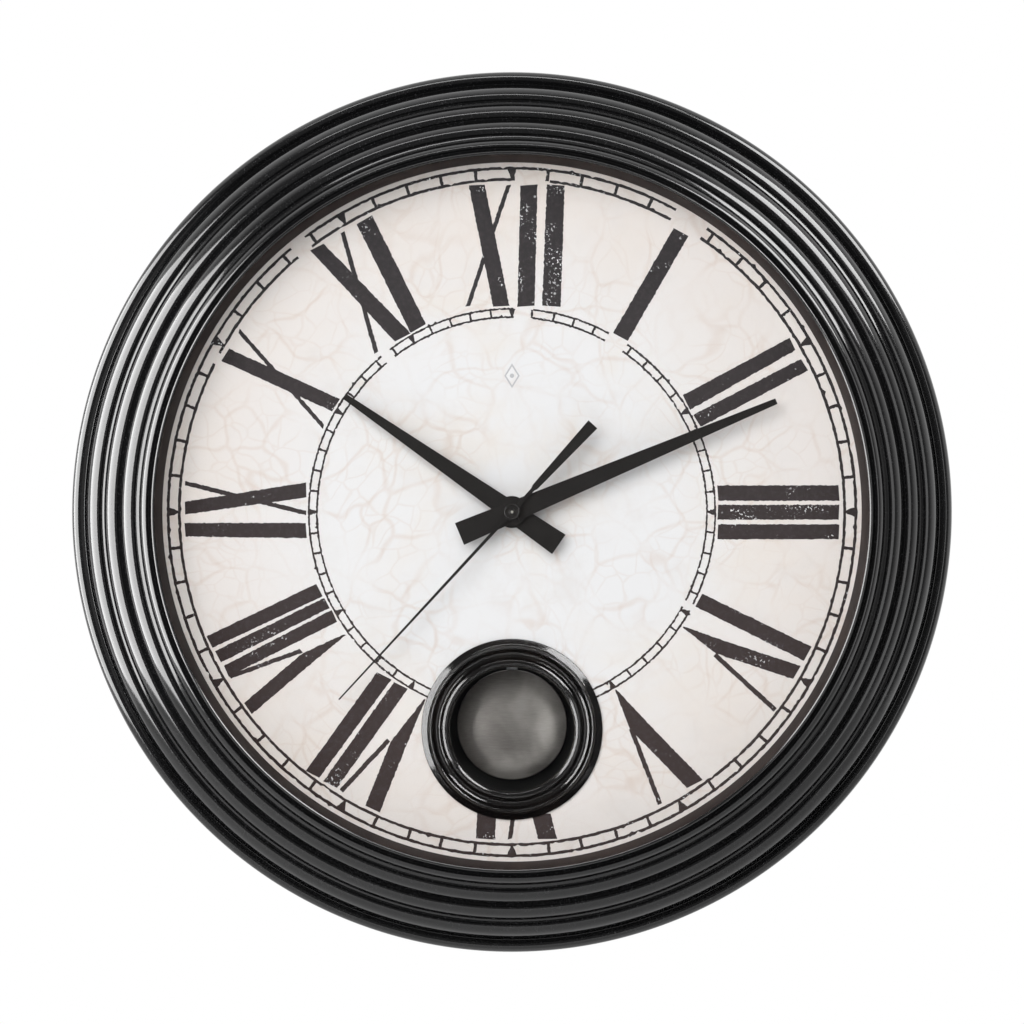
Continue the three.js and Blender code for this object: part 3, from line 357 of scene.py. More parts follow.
def marble(look, tint):
    """White printed marble with warm clouds and faint branching veins, darker and warmer towards its rim: a
    warm tint with painted shade from the case.
    """
    where = look.position()
    drift = look.node("ShaderNodeVectorMath", {"operation": "MULTIPLY_ADD"},
                      {0: look.noise(16, 3, colours=True), 1: (0.045,) * 3, 2: where})
    bent = look.out(drift)
    cloud = look.noise(11, 5, 0.6, 0.4)
    base = look.mix(look.rise(cloud, 0.42, 0.66) * 0.7, tint.paper, tint.warm)
    across = look.axes(where)[0]
    up = look.axes(where)[2] - AXIS_HEIGHT
    radius = look.math("SQRT", across * across + up * up)
    # Darker and warmer towards the rim: partly the dial's warm tint, partly painted shade where the case
    # shades the dial.
    base = look.mix(look.rise(radius, 0.07, 0.17) * 0.6, base, tint.edge)
    mottle = look.noise(42, 5, 0.65)
    base = look.mix(look.rise(mottle, 0.5, 0.75) * 0.35, base, tinted(214, 209, 206))
    fade = look.rise(look.noise(24, 3), 0.40, 0.62, 0.2)
    broad = look.rise(look.cells(44, "DISTANCE_TO_EDGE", at=bent), 0.0, 0.07, 1.0, 0.0)
    fine = look.rise(look.cells(88, "DISTANCE_TO_EDGE", at=bent), 0.0, 0.06, 1.0, 0.0)
    base = look.mix(broad * fade * 0.32, base, tint.vein)
    base = look.mix(fine * fade * 0.22, base, tint.vein)
    return look.done(base, 0.5 + mottle * 0.1, look.noise(1500, 2), 0.006)


def worn_ink(look, tint, wear):
    """Printed ink, browner towards the dial's foot, with specks rubbed down to the paper."""
    low_part = look.rise(look.axes(look.position())[2], AXIS_HEIGHT - 0.16, AXIS_HEIGHT + 0.16)
    base = look.mix(low_part, tinted(42, 28, 26), tint.ink)
    base = look.mix(look.rise(look.noise(420, 4, 0.7), 0.45, 0.7) * 0.5, base, tinted(56, 50, 52))
    patch = look.rise(look.noise(70, 2), 0.62 - wear * 0.13, 0.70 - wear * 0.08)
    grain = look.rise(look.noise(720, 3, 0.6), 0.60 - wear * 0.02, 0.63 - wear * 0.02)
    stray = look.rise(look.cells(260), 0.0, 0.16 + wear * 0.1, 1.0, 0.0)
    stray = stray * look.rise(look.noise(95, 1), 0.62, 0.66)
    rubbed = look.math("MAXIMUM", patch * grain, stray)
    shade = look.mix(rubbed, base, tint.paper)
    return look.done(shade, 0.62, look.noise(900, 2), 0.01, Specular_IOR_Level=0.25)


def ink(look, tint):
    """Printed ink with a few rubbed specks."""
    return worn_ink(look, tint, 0.0)


def rubbed_ink(look, tint):
    """Printed ink that is rubbed through in places."""
    return worn_ink(look, tint, 1.0)


def ornament(look, tint):
    """Thin grey print."""
    return look.done(look.mix(look.noise(300, 3), tint.emblem, tinted(190, 190, 192)), 0.55)


def hand_lacquer(look, tint):
    """Stamped metal under semi-gloss black lacquer."""
    dust = look.rise(look.cells(1900), 0.0, 0.18, 1.0, 0.0)
    base = look.mix(dust * 0.3, tint.hand, tinted(48, 42, 38))
    rough = 0.36 + look.noise(90, 3) * 0.12
    return look.done(base, rough, look.noise(800, 2), 0.012, Specular_IOR_Level=0.3)


def pewter(look, tint):
    """Dark brushed metal; the brushing runs across the bob."""
    brushed = look.noise(1.0, 5, 0.7, at=look.stretched(160, 900, 2200))
    cloud = look.rise(look.noise(30, 3, 0.5, 0.5), 0.4, 0.62)
    base = look.mix(brushed * 0.5 + cloud * 0.5, tint.bob, tinted(92, 88, 85))
    return look.done(base, 0.26 + brushed * 0.16, brushed, 0.014, metallic=0.7)


def zinc(look, tint):
    """Zinc-plated steel with a crystalline sheen."""
    spangle = look.axes(look.cells(420, key="Color"))[1]
    tarnish = look.noise(130, 4, 0.6)
    base = look.mix(spangle * 0.35 + tarnish * 0.3, tinted(202, 203, 205), tinted(142, 144, 150))
    return look.done(base, 0.24 + tarnish * 0.22, look.noise(700, 3), 0.015, metallic=0.75)


def brass(look, tint):
    """Turned brass, slightly tarnished."""
    tarnish = look.noise(260, 4, 0.6)
    base = look.mix(tarnish, tinted(206, 170, 98), tinted(150, 116, 62))
    return look.done(base, 0.22 + tarnish * 0.2, look.noise(900, 2), 0.01, metallic=1.0)


def moulded(look, shade, pale, grain_depth):
    """Spark-textured moulded plastic in a shade and a paler one where it is rubbed."""
    grain = look.noise(1100, 3, 0.6)
    flow = look.noise(18, 3, 0.6, 0.8)
    base = look.mix(look.rise(flow, 0.4, 0.7) * 0.5 + grain * 0.2, shade, pale)
    return look.done(base, 0.48 + flow * 0.14 + grain * 0.08, grain, grain_depth)


def back_plastic(look, tint):
    """Black plastic of the back cover, coarsely textured."""
    return moulded(look, grey(26), grey(44), 0.06)


def movement_plastic(look, tint):
    """Black plastic of the movement's housing."""
    return moulded(look, grey(22), grey(38), 0.03)


def white_plastic(look, tint):
    """Natural acetal of the wheels."""
    return moulded(look, tinted(226, 224, 214), tinted(205, 202, 190), 0.01)


def red_plastic(look, tint):
    """Red acetal."""
    return moulded(look, tinted(168, 62, 52), tinted(140, 48, 42), 0.01)


def rubber(look, tint):
    """Matt rubber."""
    return moulded(look, grey(30), grey(52), 0.04)


def magnet(look, tint):
    """Sintered magnet."""
    base = look.mix(look.noise(900, 4), grey(70), grey(112))
    return look.done(base, 0.5, look.noise(1400, 3), 0.02, metallic=0.8)


def copper_wire(look, tint):
    """Enamelled wire laid side by side, painted darker in the grooves between turns and lighter on their
    crests: painted shade and highlight.
    """
    turns = look.node("ShaderNodeTexWave", {"wave_type": "BANDS", "bands_direction": "X"},
                      {"Vector": look.position(), "Scale": 900, "Distortion": 1.2})
    turn_relief_and_shade = look.out(turns, 1)
    # The turns' relief also sets the colour: painted shade in the grooves and painted highlight on the
    # crests.
    return look.done(look.mix(turn_relief_and_shade, tinted(122, 58, 28), tinted(196, 112, 62)), 0.35, turn_relief_and_shade, 0.06, metallic=0.9)


def board(look, tint):
    """Green circuit board with copper tracks under its mask."""
    tracks = look.rise(look.cells(420, "DISTANCE_TO_EDGE"), 0.06, 0.09, 1.0, 0.0)
    return look.done(look.mix(tracks, tinted(26, 82, 48), tinted(66, 132, 74)), 0.45, tracks, 0.03)


def cell(look, tint):
    """Printed sleeve of a dry cell: a dark body and a pale band at the positive end."""
    along = look.axes(look.position())[0]
    band = look.rise(along, 0.0117, 0.0121)
    cap = look.rise(along, 0.0236, 0.0238)
    base = look.mix(look.noise(180, 3) * 0.4, tinted(36, 52, 74), tinted(54, 72, 96))
    base = look.mix(band, base, tinted(196, 158, 76))
    base = look.mix(cap, base, tinted(196, 197, 199))
    return look.done(base, 0.3 + look.noise(60, 3) * 0.1, look.noise(500, 2), 0.01, metallic=cap * 0.9)


def clear(look, tint):
    """Clear acrylic lens with the faintest dust."""
    dust = look.rise(look.cells(520), 0.0, 0.07, 1.0, 0.0) * look.rise(look.noise(30, 2), 0.55, 0.7)
    shade = look.mix(dust, (0.004,) * 3, grey(150))
    return look.done(shade, 0.03 + dust * 0.3, look.noise(9, 1), 0.004, Alpha=0.035 + dust * 0.05, IOR=1.49)


def floor_paint(look, tint):
    """Pale painted floor."""
    return look.done(look.mix(look.noise(3, 5), grey(236), grey(228)), 0.7, look.noise(60, 3), 0.2)


MADE_LOOKS = {}


def finish(maker):
    """The material that a finish function makes, made once."""
    if maker.__name__ not in MADE_LOOKS:
        look = Look(maker.__name__)
        MADE_LOOKS[maker.__name__] = maker(look, settings().finish)
    return MADE_LOOKS[maker.__name__]


def settings():
    return bpy.context.scene.wall_clock


# ---- Shapes ---------------------------------------------------------------------------------
def eased(points, radius, steps=4, closed=True):
    """A profile whose corners are rounded. Corners on the turning axis stay sharp."""
    count = len(points)
    made = []
    for i, (r, z) in enumerate(points):
        before, after = points[i - 1], points[(i + 1) % count]
        corner = Vector((r, z))
        back, on = Vector(before) - corner, Vector(after) - corner
        ends = not closed and i in (0, count - 1)
        if ends or r < 1e-6 or back.length < 1e-6 or on.length < 1e-6:
            made.append((r, z))
            continue
        if back.angle(-on, 0.0) < math.radians(7):
            made.append((r, z))
            continue
        cut = min(radius, back.length * 0.45, on.length * 0.45)
        start = corner + back.normalized() * cut
        end = corner + on.normalized() * cut
        for step in range(steps + 1):
            t = step / steps
            point = start * (1 - t) ** 2 + corner * 2 * t * (1 - t) + end * t * t
            made.append((point.x, point.y))
    return made


def circle(radius, sides=SMALL, at=(0, 0)):
    return [polar(radius, 360 * i / sides, at) for i in range(sides)]


def rounded_rect(x0, x1, y0, y1, radius, steps=8):
    corners = ((x1, y0, -90), (x1, y1, 0), (x0, y1, 90), (x0, y0, 180))
    points = []
    for x, y, turn in corners:
        centre = (x - math.copysign(radius, x - (x0 + x1) / 2), y - math.copysign(radius, y - (y0 + y1) / 2))
        points += [polar(radius, turn + 90 * i / steps, centre) for i in range(steps + 1)]
    return points


class Shape:
    """Faces of one piece, gathered in face millimetres."""

    def __init__(self):
        self.points, self.faces, self.looks = [], [], []

    def add(self, points, faces, look=0):
        start = len(self.points)
        self.points += points
        self.faces += [[start + i for i in face] for face in faces]
        self.looks += [look] * len(faces)
        return self

    def lathe(self, profile, at=(0, 0), sides=FINE, flutes=None, look=0):
        """Turned about z. A profile that starts and ends on the axis is open, any other is a loop."""
        on_axis = profile[0][0] < 1e-6 and profile[-1][0] < 1e-6
        widest = max(r for r, _ in profile)
        points, rings = [], []
        for r, z in profile:
            if r < 1e-6:
                points.append((at[0], at[1], z))
                rings.append([len(points) - 1] * sides)
                continue
            ring = []
            for i in range(sides):
                reach = r
                if flutes and r > widest - flutes[1]:
                    reach -= flutes[1] * (0.5 - 0.5 * math.cos(2 * math.pi * flutes[0] * i / sides)) ** 2
                ring.append(len(points))
                points.append((*polar(reach, 360 * i / sides, at), z))
            rings.append(ring)
        faces = []
        for lower, upper in zip(rings, rings[1:] + ([] if on_axis else rings[:1])):
            for i in range(sides):
                j = (i + 1) % sides
                corners = list(dict.fromkeys((lower[i], lower[j], upper[j], upper[i])))
                if len(corners) > 2:
                    faces.append(corners)
        return self.add(points, faces, look)

    def slab(self, loops, z0, z1, look=0):
        """A plate from one outline and any holes in it."""
        flat = [point for loop in loops for point in loop]
        count = len(flat)
        points = [(*p, z0) for p in flat] + [(*p, z1) for p in flat]
        faces = []
        for triangle in tessellate_polygon([[Vector((*p, 0)) for p in loop] for loop in loops]):
            faces.append(list(triangle))
            faces.append([i + count for i in reversed(triangle)])
        start = 0
        for loop in loops:
            for i in range(len(loop)):
                a, b = start + i, start + (i + 1) % len(loop)
                faces.append([a, b, b + count, a + count])
            start += len(loop)
        return self.add(points, faces, look)

    def ribbon(self, rows, z0, z1, look=0):
        """A closed strip between two lines of points, given row by row as left and right."""
        points, faces = [], []
        for left, right in rows:
            points += [(*left, z0), (*right, z0), (*right, z1), (*left, z1)]
        for i in range(len(rows) - 1):
            a, b = 4 * i, 4 * i + 4
            faces += [[a + k, a + (k + 1) % 4, b + (k + 1) % 4, b + k] for k in range(4)]
        last = 4 * (len(rows) - 1)
        faces += [[0, 3, 2, 1], [last, last + 1, last + 2, last + 3]]
        return self.add(points, faces, look)

    def turn(self, degrees):
        """Turns the shape clockwise about the dial's axis."""
        c, s = math.cos(math.radians(degrees)), math.sin(math.radians(degrees))
        self.points = [(x * c + y * s, y * c - x * s, z) for x, y, z in self.points]
        return self

    def lay_along_x(self, x, y, z):
        """Lays a shape that was turned about z along the x axis, from the point given."""
        self.points = [(x + pz, y + py, z - px) for px, py, pz in self.points]
        return self

    def piece(self, name, looks, body, stands_for=(), slot=None, bevel=0.0):
        """Makes the object, which rides on a body and stands for the CAD nodes given."""
        mesh = bpy.data.meshes.new(name)
        mesh.from_pydata([place(*p) for p in self.points], [], self.faces)
        for maker in looks:
            mesh.materials.append(finish(maker))
        mesh.polygons.foreach_set("material_index", self.looks)
        work = bmesh.new()
        work.from_mesh(mesh)
        bmesh.ops.remove_doubles(work, verts=work.verts, dist=1e-7)
        bmesh.ops.recalc_face_normals(work, faces=work.faces)
        work.to_mesh(mesh)
        work.free()
        mesh.shade_smooth()
        mesh.set_sharp_from_angle(angle=SMOOTH_ANGLE)
        made = bpy.data.objects.new(name, mesh)
        bpy.context.scene.collection.objects.link(made)
        if bevel:
            soften(made, bevel)
        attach(made, body)
        if stands_for:
            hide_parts(*stands_for)
        return made


def soften(obj, width):
    """Rounds an object's sharp edges by a width in millimetres."""
    bevel = obj.modifiers.new("edges", "BEVEL")
    bevel.width = width * MM
    bevel.segments = 3
    bevel.limit_method = "ANGLE"
    bevel.angle_limit = math.radians(38)
    bevel.harden_normals = True


def in_mm(value):
    return value / MM


# ---- Case -----------------------------------------------------------------------------------
# Steps of the moulding from the rim inwards: distance in from the rim, width, drop below the
# lip, and rise.
STEPS = (
    (7.4, 6.2, 32.0, 11.0),
    (16.6, 6.0, 22.5, 9.0),
    (25.0, 6.0, 13.5, 8.5),
    (34.2, 3.6, 5.0, 8.0),
)
RIM_HEIGHT = 11
BEAD_HEIGHT = 4.5  # of the rounded bead over the rim
LIP_INSET = 4.0  # inner ring's edge to the lip
LIP_ROUND = 0.6
POCKET_PLAY = 0.3
SKIRT_WALL = 1.8
SKIRT_LAP = 2  # how far the skirt reaches behind the dial
BOSS_INSET = 24
BOSS_RADIUS = 4
BOSS_FOOT = 2.5  # cover's rear face to the boss
BOSS_CEILING = 3.0  # top of the second step to the boss's end
SPACER_WALL = 3
INNER_WALL = 2.0
LENS_INSET = 4.1  # the inner ring's opening at the lens
DIAL_INSET = 7.9  # and at the dial
SCREW_BORE = 1.4
SCREW_COUNT = 6


def step_curve(rim, top, step, segments=14):
    """Quarter of an ellipse from a step's outer foot to its inner top edge."""
    inset, width, drop, rise = step
    angles = [math.pi / 2 * i / segments for i in range(segments + 1)]
    return [
        (rim - inset - width * (1 - math.cos(angle)), top - drop - rise * (1 - math.sin(angle)))
        for angle in angles
    ]


def bezel_profile():
    """The moulding's section, as distance from the axis and height over the wall."""
    size = settings().case
    edge = face_box("bezel_ring")[1]
    rim, top = edge.x, edge.z
    groove, skin, lip = in_mm(size.groove), in_mm(size.skin), in_mm(size.lip)
    ring_edge = face_box("rehaut_ring")[1].x
    lip_radius = ring_edge - LIP_INSET
    pocket = ring_edge + POCKET_PLAY
    skirt_foot = face_box("dial_plate")[0].z - SKIRT_LAP
    seat = face_box("glass_lens")[1].z + POCKET_PLAY
    face = [(rim, 0), (rim, RIM_HEIGHT), (rim - 0.5, RIM_HEIGHT + 1.8), (rim - 1.6, RIM_HEIGHT + 3.6)]
    face += [(rim - 3.0, RIM_HEIGHT + BEAD_HEIGHT), (rim - 4.4, RIM_HEIGHT + 4.3)]
    face.append((rim - in_mm(size.bead), RIM_HEIGHT + 2.6))
    for step in STEPS:
        face += step_curve(rim, top, step)
        face.append((rim - step[0] - step[1] - 1, top - step[2] - groove))
    face += [(lip_radius + lip, top - 4), (lip_radius + lip, top - LIP_ROUND)]
    face += [(lip_radius + lip / 2, top), (lip_radius, top - LIP_ROUND)]
    under = [(lip_radius, seat), (pocket, seat), (pocket, skirt_foot), (pocket + SKIRT_WALL, skirt_foot)]
    feet = [top - step[2] - groove - skin for step in STEPS]
    under.append((pocket + SKIRT_WALL, feet[2]))
    for i in (2, 1, 0):
        inset, width, _, rise = STEPS[i]
        outer = rim - inset
        below = feet[i - 1] if i else RIM_HEIGHT
        under += [(outer - width + 1, feet[i]), (outer - skin, feet[i] - rise / 2), (outer - skin, below)]
    under += [(rim - skin, RIM_HEIGHT), (rim - skin, 0)]
    return eased(face, in_mm(size.easing), 3, closed=False) + under


class WALLCLOCK_OT_bezel(bpy.types.Operator):
    """Stepped black moulding of the case"""

    bl_idname = "wall_clock.bezel"
    bl_label = "Bezel"

    def execute(self, context):
        shape = Shape().lathe(bezel_profile(), sides=FINE + 72)
        rim = face_box("bezel_ring")[1]
        foot = face_box("back_cover")[0].z + BOSS_FOOT
        ceiling = rim.z - STEPS[1][2] - BOSS_CEILING
        boss = [(SCREW_BORE, foot), (BOSS_RADIUS, foot), (BOSS_RADIUS, ceiling), (SCREW_BORE, ceiling)]
        for i in range(SCREW_COUNT):
            shape.lathe(boss, polar(rim.x - BOSS_INSET, 360 * i / SCREW_COUNT), ROUND)
        shape.piece("bezel", [lacquer], CASE, ["bezel_ring"], "case_black")
        return {"FINISHED"}


class WALLCLOCK_OT_lens(bpy.types.Operator):
    """Clear lens behind the lip"""

    bl_idname = "wall_clock.lens"
    bl_label = "Lens"

    def execute(self, context):
        low, high = face_box("glass_lens")
        profile = [(0, low.z), (high.x, low.z), (high.x, high.z), (0, high.z)]
        Shape().lathe(eased(profile, 0.3)).piece("lens", [clear], CASE, ["glass_lens"], "lens")
        return {"FINISHED"}


class WALLCLOCK_OT_inner_ring(bpy.types.Operator):
    """Sloping black ring between the lens and the dial"""

    bl_idname = "wall_clock.inner_ring"
    bl_label = "Inner ring"

    def execute(self, context):
        low, high = face_box("rehaut_ring")
        outer, wall = high.x, INNER_WALL
        lens_side, dial_side = outer - LENS_INSET, outer - DIAL_INSET
        foot, flange = low.z + wall, high.z - wall
        profile = [(dial_side, low.z), (outer, low.z), (outer, foot), (dial_side + wall, foot)]
        profile += [(lens_side + wall - 0.4, flange), (outer - 0.1, flange), (outer - 0.1, high.z)]
        profile += [(lens_side, high.z), (lens_side - 1.6, high.z - 5.2), (dial_side + 0.2, low.z + 1.0)]
        ring = Shape().lathe(eased(profile, 0.5))
        ring.piece("inner_ring", [shade_ring], CASE, ["rehaut_ring"], "inner_black")
        return {"FINISHED"}


# ---- Dial print -----------------------------------------------------------------------------
THIN = 2.3  # width of a hairline stroke
VEE_TIP = 0.8
ROW = 0.9  # spacing of the points along a stroke's edge
LAYER = 0.004  # how far one layer of ink stands over another
NICK_SHARE = 0.035  # share of points with a nick or burr
OUTER_TRACK = (1.45, 2.5)  # width of a line and half width of an hour marker
INNER_TRACK = (1.0, 1.7)


def bar(top_left, top_right, foot_left, foot_right):
    """A straight stroke, as rows of share of the numeral's height, left and right edge."""
    return [(0.0, top_left, top_right), (1.0, foot_left, foot_right)]


def hairline(top, foot):
    return bar(top - THIN / 2, top + THIN / 2, foot - THIN / 2, foot + THIN / 2)


def vee(top_left, top_right, apex, thin_top, join_x, join):
    """The broad and thin strokes of a V. They join at a share of its height and end in the apex."""
    at_join = top_left + (apex - top_left) * join
    width = top_right - top_left
    broad = [(0.0, top_left, top_right), (join, at_join, at_join + width)]
    broad.append((1.0, apex - VEE_TIP / 2, apex + VEE_TIP / 2))
    thin = [(0.0, thin_top - THIN / 2, thin_top + THIN / 2), (join, join_x - THIN / 2, join_x + THIN / 2)]
    return [broad, thin]


# Strokes of each numeral in millimetres to the side of its ray, clockwise positive.
NUMERALS = {
    1: [bar(-1.0, 7.4, -1.0, 7.4)],
    2: [bar(-6.0, 0.8, -7.8, 0.3), bar(5.9, 12.7, 3.2, 10.3)],
    3: [bar(-13.3, -5.6, -13.3, -5.6), bar(-3.6, 3.8, -3.6, 3.8), bar(6.2, 13.6, 6.2, 13.6)],
    4: [bar(-16.5, -8.5, -12.2, -4.9), *vee(-5.5, 2.1, 7.0, 19.9, 11.0, 0.66)],
    5: vee(-15.7, -6.8, -0.5, 8.9, 2.6, 0.66),
    6: [*vee(-22.5, -13.0, -7.0, 1.0, -4.4, 0.66), bar(8.5, 18.0, 5.5, 15.0)],
    7: [*vee(-17.8, -9.8, -9.0, 4.2, -3.6, 0.56), bar(6.8, 14.4, 0.8, 8.6), bar(17.0, 24.6, 10.3, 18.4)],
    8: [*vee(-22.5, -15.7, -11.3, -0.8, -7.4, 0.62), bar(-0.4, 5.5, -3.8, 2.7), bar(7.6, 14.0, 4.0, 9.7),
        bar(16.0, 22.5, 10.8, 17.8)],
    9: [bar(-12.3, -5.5, -13.0, -5.4), bar(-1.3, 5.1, 7.3, 14.8), hairline(14.4, -0.5)],
    10: [bar(-7.2, 0.0, -1.4, 5.9), hairline(10.2, -10.2)],
    11: [bar(-22.0, -14.4, -8.1, 0.8), hairline(-3.4, -18.9), bar(4.7, 13.6, 0.8, 9.7)],
    12: [bar(-21.6, -13.6, -9.4, -1.3), hairline(-1.7, -22.0), bar(4.2, 12.7, 2.7, 11.3),
         bar(17.4, 26.3, 15.0, 24.3)],
}
RUBBED = {(12, 2), (12, 3), (3, 1), (8, 1), (8, 3), (7, 2), (4, 0)}
# Where the tracks are rubbed away: from and to, in degrees clockwise from twelve.
BOTH_GAPS = ((28.8, 34.2), (320.3, 322.7))
OUTER_INNER_GAPS = ((0.8, 6.0), (297.0, 298.2))
INNER_GAPS = ((1.0, 5.6), (117.4, 118.8))


def in_gap(degrees, gaps):
    return any(start <= degrees % 360 <= end for start, end in gaps)


def row_between(knots, share):
    """Left and right edge of a stroke at a share of its height."""
    for (s0, l0, r0), (s1, l1, r1) in zip(knots, knots[1:]):
        if share <= s1 + 1e-9:
            t = (share - s0) / (s1 - s0)
            return l0 + (l1 - l0) * t, r0 + (r1 - r0) * t
    return knots[-1][1:]


class Printer:
    """Draws ragged strokes of ink that stand just proud of the dial."""

    def __init__(self):
        size = settings().printing
        self.shape = Shape()
        self.dice = random.Random(size.seed)
        self.ragged = in_mm(size.roughness)
        self.back = face_box("dial_plate")[1].z + LAYER
        self.front = self.back + in_mm(size.thickness)
        self.window = middle("window_ring")
        self.window_clear = face_box("window_ring")[1].x - 2.2

    def jog(self, limit=0.5):
        """A small step of the edge, now and then a nick or a burr."""
        if self.dice.random() < NICK_SHARE:
            return self.dice.uniform(-limit, limit)
        return self.dice.gauss(0, self.ragged)

    def hidden(self, point):
        return math.dist(point, self.window) < self.window_clear

    def run(self, rows, lift=0.0, look=0):
        """Lays the rows as strips of ink, broken where the window ring covers them."""
        strip = []
        for left, right in [*rows, (self.window, self.window)]:
            if self.hidden(left) or self.hidden(right):
                if len(strip) > 1:
                    self.shape.ribbon(strip, self.back, self.front + lift, look)
                strip = []
            else:
                strip.append((left, right))

    def arc(self, radius, width, gaps):
        """A ring line of a track."""
        steps = 720
        rows, start = [], 20.0
        for i in range(steps + 1):
            degrees = start + 360 * i / steps
            if in_gap(degrees, gaps):
                self.run(rows)
                rows = []
                continue
            out = radius + width / 2 + self.jog(1.1)
            back = radius - width / 2 + self.jog(0.7)
            rows.append((dial_point(0, max(out, back + 0.3), degrees), dial_point(0, back, degrees)))
        self.run(rows)

    def radial(self, degrees, outer, inner, half_out, half_in):
        """A tick, or a marker when it narrows inwards."""
        rows = []
        steps = 6
        for i in range(steps + 1):
            t = i / steps
            half = half_out + (half_in - half_out) * t
            radius = outer + (inner - outer) * t
            rows.append((
                dial_point(-half + self.jog(0.2), radius, degrees),
                dial_point(half + self.jog(0.2), radius, degrees),
            ))
        self.run(rows, LAYER)

    def track(self, outer, inner, sizes, gaps_outer, gaps_inner):
        """Two ring lines with sixty ticks, and a marker at each hour."""
        width, marker_half = sizes
        self.arc(outer, width, gaps_outer)
        self.arc(inner, width, gaps_inner)
        for minute in range(60):
            degrees = 6 * minute
            if in_gap(degrees, gaps_outer):
                continue
            if minute % 5:
                self.radial(degrees + self.jog(0.1), outer, inner, width * 0.55, width * 0.55)
            else:
                self.radial(degrees, outer, inner - width * 0.3, marker_half, 0.25)

    def numeral(self, hour, strokes, top, foot):
        """A numeral with its top outwards."""
        for number, knots in enumerate(strokes):
            look = 1 if (hour, number) in RUBBED else 0
            last = knots[-1][0]
            count = max(8, round((top - foot) * last / ROW))
            skew = self.dice.uniform(-0.35, 0.35)
            rows = []
            for i in range(count + 1):
                share = last * i / count
                left, right = row_between(knots, share)
                radius = top + (foot - top) * share
                left_edge, right_edge = left + self.jog(0.35), right + self.jog(0.35)
                if right_edge - left_edge < 0.3:
                    right_edge = left_edge + 0.3
                rows.append((
                    dial_point(left_edge, radius + skew, 30 * hour),
                    dial_point(right_edge, radius - skew, 30 * hour),
                ))
            self.run(rows, LAYER * (number + 1), look)


class WALLCLOCK_OT_tracks(bpy.types.Operator):
    """Printed minute track and small inner track"""

    bl_idname = "wall_clock.tracks"
    bl_label = "Tracks"

    def execute(self, context):
        size = settings().printing
        printer = Printer()
        inner_gaps = BOTH_GAPS + INNER_GAPS
        printer.track(in_mm(size.outer_line), in_mm(size.outer_inner_line), OUTER_TRACK,
                      BOTH_GAPS, BOTH_GAPS + OUTER_INNER_GAPS)
        printer.track(in_mm(size.inner_line), in_mm(size.inner_inner_line), INNER_TRACK,
                      inner_gaps, inner_gaps)
        printer.shape.piece("dial_tracks", [ink], CASE)
        return {"FINISHED"}


class WALLCLOCK_OT_numerals(bpy.types.Operator):
    """Worn Roman numerals"""

    bl_idname = "wall_clock.numerals"
    bl_label = "Numerals"

    def execute(self, context):
        size = settings().printing
        printer = Printer()
        for hour, strokes in NUMERALS.items():
            printer.numeral(hour, strokes, in_mm(size.numeral_top), in_mm(size.numeral_foot))
        printer.shape.piece("dial_numerals", [ink, rubbed_ink], CASE)
        return {"FINISHED"}


class WALLCLOCK_OT_ornament(bpy.types.Operator):
    """Small plain lozenge under twelve"""

    bl_idname = "wall_clock.ornament"
    bl_label = "Ornament"

    def execute(self, context):
        printer = Printer()
        back, front = printer.back, printer.front
        centre, reach, line, dot = 68.0, 6.2, 0.75, 1.1
        half = reach * 0.62
        outer = [(0, centre + reach), (half, centre), (0, centre - reach), (-half, centre)]
        scale = 1 - line * 1.9 / reach
        inner = [(x * scale, centre + (y - centre) * scale) for x, y in outer]
        shape = printer.shape.slab([outer, inner], back, front)
        shape.lathe([(0, back), (dot, back), (dot, front), (0, front)], (0, centre), SMALL)
        shape.piece("dial_ornament", [ornament], CASE)
        return {"FINISHED"}


# ---- Window ---------------------------------------------------------------------------------
WINDOW_MOULDING = 14.2
WINDOW_SLEEVE = 1.4
PEG_RADIUS = 1.5
PEG_INSET = 5.2


class WALLCLOCK_OT_window_ring(bpy.types.Operator):
    """Gloss moulding round the pendulum window"""

    bl_idname = "wall_clock.window_ring"
    bl_label = "Window ring"

    def execute(self, context):
        low, high = face_box("window_ring")
        outer, top = high.x, high.z
        inner, sleeve = outer - WINDOW_MOULDING, outer - WINDOW_MOULDING + WINDOW_SLEEVE
        dial_low, dial_high = face_box("dial_plate")
        foot, base = dial_low.z + POCKET_PLAY, dial_high.z + POCKET_PLAY
        profile = [(inner, foot), (sleeve, foot), (sleeve, base), (outer, base), (outer, base + 0.7)]
        profile += [(outer - 2.8, top - 2.4), (outer - 3.6, top - 1.6), (outer - 4.6, top - 0.3)]
        profile += [(outer - 5.4, top - 1.0), (outer - 6.4, top - 2.2), (inner + 6.4, top - 3.0)]
        profile += [(inner + 5.2, top - 2.8), (inner + 4.4, top - 2.0), (inner + 3.8, top - 0.8)]
        profile += [(inner + 2.2, top), (inner + 0.7, top - 0.9), (inner, top - 2.4)]
        shape = Shape().lathe(eased(profile, 0.55), middle("window_ring"), FINE)
        peg = [(0, low.z), (PEG_RADIUS, low.z), (PEG_RADIUS, base), (0, base)]
        for bearing in (30, 150, 270):
            shape.lathe(eased(peg, 0.3), polar(outer - PEG_INSET, bearing, middle("window_ring")), ROUND)
        shape.piece("window_moulding", [gloss], CASE, ["window_ring"], "inner_black")
        return {"FINISHED"}


